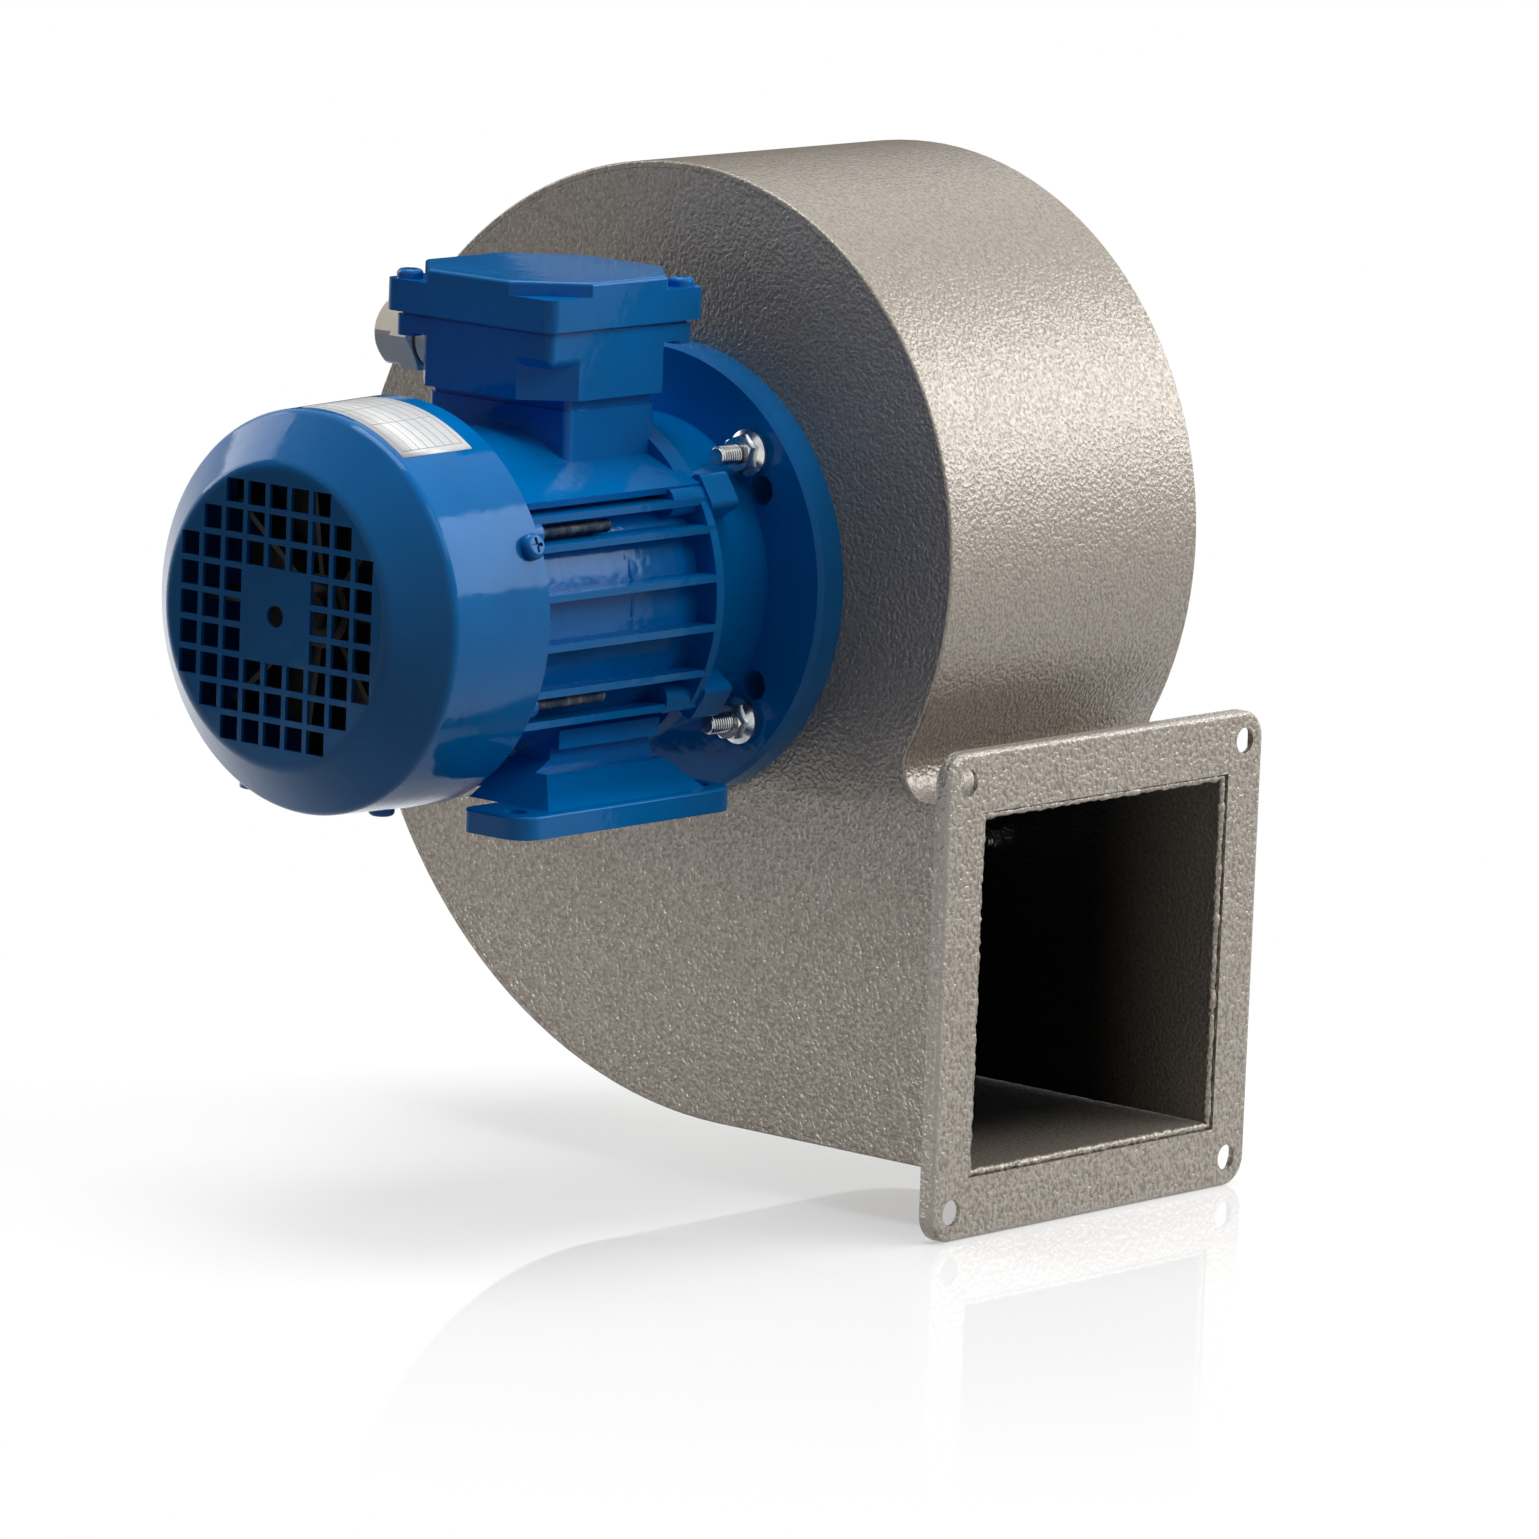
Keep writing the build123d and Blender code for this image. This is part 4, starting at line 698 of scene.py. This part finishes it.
# Wheel: blades, back plate and front ring cut and bent from galvanised sheet, pinned together by tabs.
# The hub is turned from aluminium, whiter and brighter, and riveted to the back plate.
def galvanised_sheet():
    """Hot-dip zinc: pale grey metal with a spangle of flat crystals about 9 mm across."""
    material = new_material("galvanised_sheet", Metallic=0.95, Roughness=0.4)
    place = add_node(material, "TexCoord").outputs["Object"]
    spangle = add_node(material, "TexVoronoi", {"Vector": place, "Scale": per_mm(9)})
    grey = add_node(material, "SeparateColor", {"Color": spangle.outputs["Color"]}).outputs["Red"]
    grain = add_node(material, "TexNoise", {"Vector": place, "Scale": per_mm(1.2), "Detail": 3.0})
    bump = add_node(material, "Bump", {"Height": grain.outputs["Fac"], "Strength": 0.1, "Distance": 0.0002})
    tone = add_node(material, "ValToRGB", {"Fac": grey},
                    stops=((0.0, "#9a9fa1"), (0.5, "#a5aaac"), (1.0, "#b0b4b6")))
    sheen = add_node(material, "MapRange", {"Value": grey, "To Min": 0.36, "To Max": 0.46})
    feed(material, Base_Color=tone.outputs["Color"], Normal=bump.outputs["Normal"],
         Roughness=sheen.outputs["Result"])
    return material


paint(galvanised_sheet(), "wheel_back_plate", "wheel_blades", "wheel_front_ring")
paint(turned_metal("turned_aluminium", "#b3b4b6", "#d0d1d2", 0.32, 5.03), "wheel_hub", "wheel_rivets")


# Floor: a large pale sheet with a faint polish, which keeps the fan's shadow and a soft reflection.
# It fades into the white background, so no edge of it shows, and throws little light back up.
def in_sight(owner):
    """1 for camera, glossy and transmission rays, which should meet plain white, and 0 for others."""
    rays = add_node(owner, "LightPath").outputs
    either = rays["Is Camera Ray"]
    for kind in ("Is Glossy Ray", "Is Transmission Ray"):
        either = add_node(owner, "Math", {0: either, 1: rays[kind]}, operation="MAXIMUM").outputs["Value"]
    return either


def show(owner, output, shader):
    """Makes a shader's output what a material, or the world, shows."""
    owner.node_tree.links.new(shader, owner.node_tree.nodes[output].inputs["Surface"])


def pale_floor():
    """White floor: lit near the object, plain white to the camera farther off, dull to stray light."""
    near = 0.08
    far = 0.42
    near_white = 0.15                    # share of plain white right under the object
    material = new_material("pale_floor", Base_Color=linear("#f0f0f0"), Roughness=0.03, IOR=1.33,
                            Emission_Color=linear("#ffffff"), Emission_Strength=0.27)
    shader = material.node_tree.nodes["Principled BSDF"]
    glow = add_node(material, "Emission", {"Color": linear("#ffffff"), "Strength": 1.0})
    dull = add_node(material, "BsdfDiffuse", {"Color": linear("#6a6a6a")})
    place = add_node(material, "TexCoord").outputs["Object"]
    away = add_node(material, "VectorMath", {0: place}, operation="LENGTH").outputs["Value"]
    fade = add_node(material, "MapRange", {"Value": away, "From Min": near, "From Max": far,
                                           "To Min": near_white, "To Max": 1.0},
                    interpolation_type="SMOOTHSTEP")
    share = add_node(material, "Math", {0: in_sight(material), 1: fade.outputs["Result"]},
                     operation="MULTIPLY")
    lit = add_node(material, "MixShader", {"Fac": share.outputs["Value"], 1: shader.outputs["BSDF"],
                                           2: glow.outputs["Emission"]})
    stray = add_node(material, "LightPath").outputs["Is Diffuse Ray"]
    mixed = add_node(material, "MixShader", {"Fac": stray, 1: lit.outputs["Shader"], 2: dull.outputs["BSDF"]})
    show(material, "Material Output", mixed.outputs["Shader"])
    return material


floor_z = cad_box[0][2]
floor_half = 6.0
floor_corners = [(-floor_half, -floor_half, 0), (floor_half, -floor_half, 0), (floor_half, floor_half, 0),
                 (-floor_half, floor_half, 0)]
floor = new_piece("floor", floor_corners, [(0, 1, 2, 3)], pale_floor(), smooth=False)
under_fan = (0.04, 0.08, floor_z)
floor.location = under_fan


# Light: a large soft box behind and to the right draws the long highlight down the wrap. Smaller ones
# stand above, to the right and to the left, and a narrow one skims the plate's foot from low in front.
def soft_box(name, aim, towards, distance, width, height, watts, spread=180.0):
    """A rectangular area light aimed at a place from a direction, its beam spread so many degrees."""
    lamp = bpy.data.lights.new(name, "AREA")
    lamp.shape = "RECTANGLE"
    lamp.size = width
    lamp.size_y = height
    lamp.energy = watts
    lamp.spread = math.radians(spread)
    box = bpy.data.objects.new(name, lamp)
    way = Vector(towards).normalized()
    box.location = aim + way * distance
    box.visible_camera = False
    box.rotation_euler = way.to_track_quat("Z", "Y").to_euler()
    bpy.context.scene.collection.objects.link(box)


fan_middle = Vector((0.03, 0.09, 0.03))
plate_foot = Vector((0.02, 0.08, -0.09))
soft_box("key_soft_box", fan_middle, (0.58, 0.68, 0.43), 1.6, 1.4, 0.9, 17)
soft_box("right_soft_box", fan_middle, (0.72, 0.05, 0.69), 1.6, 0.8, 0.8, 4)
soft_box("top_soft_box", fan_middle, (-0.10, 0.0, 1.0), 1.5, 0.9, 0.9, 14)
soft_box("left_soft_box", fan_middle, (-0.88, -0.20, 0.43), 1.6, 0.8, 0.8, 5)
soft_box("low_soft_box", plate_foot, (-0.38, -0.92, 0.02), 1.1, 0.5, 0.08, 0.04, spread=14.0)


# Grey cards: two plain boards on the left, as a studio uses to keep paint from mirroring the white room.
# They are seen only in reflections, and cast no shadow.
def grey_card(name, x, low_y, high_y, low_z, high_z, grey):
    """A board facing the fan, parallel to its outlet."""
    material = new_material(name)
    glow = add_node(material, "Emission", {"Color": linear(grey), "Strength": 1.0})
    show(material, "Material Output", glow.outputs["Emission"])
    corners = [(x, low_y, low_z), (x, high_y, low_z), (x, high_y, high_z), (x, low_y, high_z)]
    card = new_piece(name, corners, [(0, 1, 2, 3)], material, smooth=False)
    card.visible_camera = False
    card.visible_diffuse = False
    card.visible_shadow = False


grey_card("front_grey_card", -0.7, -1.5, -0.3, floor_z, 0.7, "#a0a0a0")
grey_card("rear_grey_card", -0.32, 0.15, 0.75, 0.08, 0.42, "#2c2c2c")


# Room: plain white to the camera and in reflections, like a sheet of paper all round. As light it is
# only a weak, slightly cool fill, and the soft boxes do the rest.
world = bpy.data.worlds.new("studio")
bpy.context.scene.world = world
world.use_nodes = True
fill = world.node_tree.nodes["Background"]
fill.inputs["Color"].default_value = linear("#dfe3e8")
fill.inputs["Strength"].default_value = 0.07
backdrop = add_node(world, "Background", {"Color": linear("#ffffff"), "Strength": 1.0})
room = add_node(world, "MixShader", {"Fac": in_sight(world), 1: fill.outputs["Background"],
                                     2: backdrop.outputs["Background"]})
show(world, "World Output", room.outputs["Shader"])


# Camera: a long lens from the front right, slightly above the shaft, held 2.2 degrees off level. Its
# place was found by fitting the sizes of the motor's standard flange and feet.
camera_place = Vector((2.06284, -2.23079, 0.52442))
camera_sight = Vector((-0.648868, 0.742477, -0.166425))
camera_roll = math.radians(2.189)
camera = bpy.data.objects.new("camera", bpy.data.cameras.new("camera"))
camera.data.sensor_width = 36.0
camera.data.lens = 241.12
camera.data.clip_end = 50.0
camera.location = camera_place
level = camera_sight.to_track_quat("-Z", "Y").to_matrix().to_4x4()
camera.rotation_euler = (level @ Matrix.Rotation(camera_roll, 4, "Z")).to_euler()
bpy.context.scene.collection.objects.link(camera)
bpy.context.scene.camera = camera
bpy.context.scene.view_settings.view_transform = "Standard"
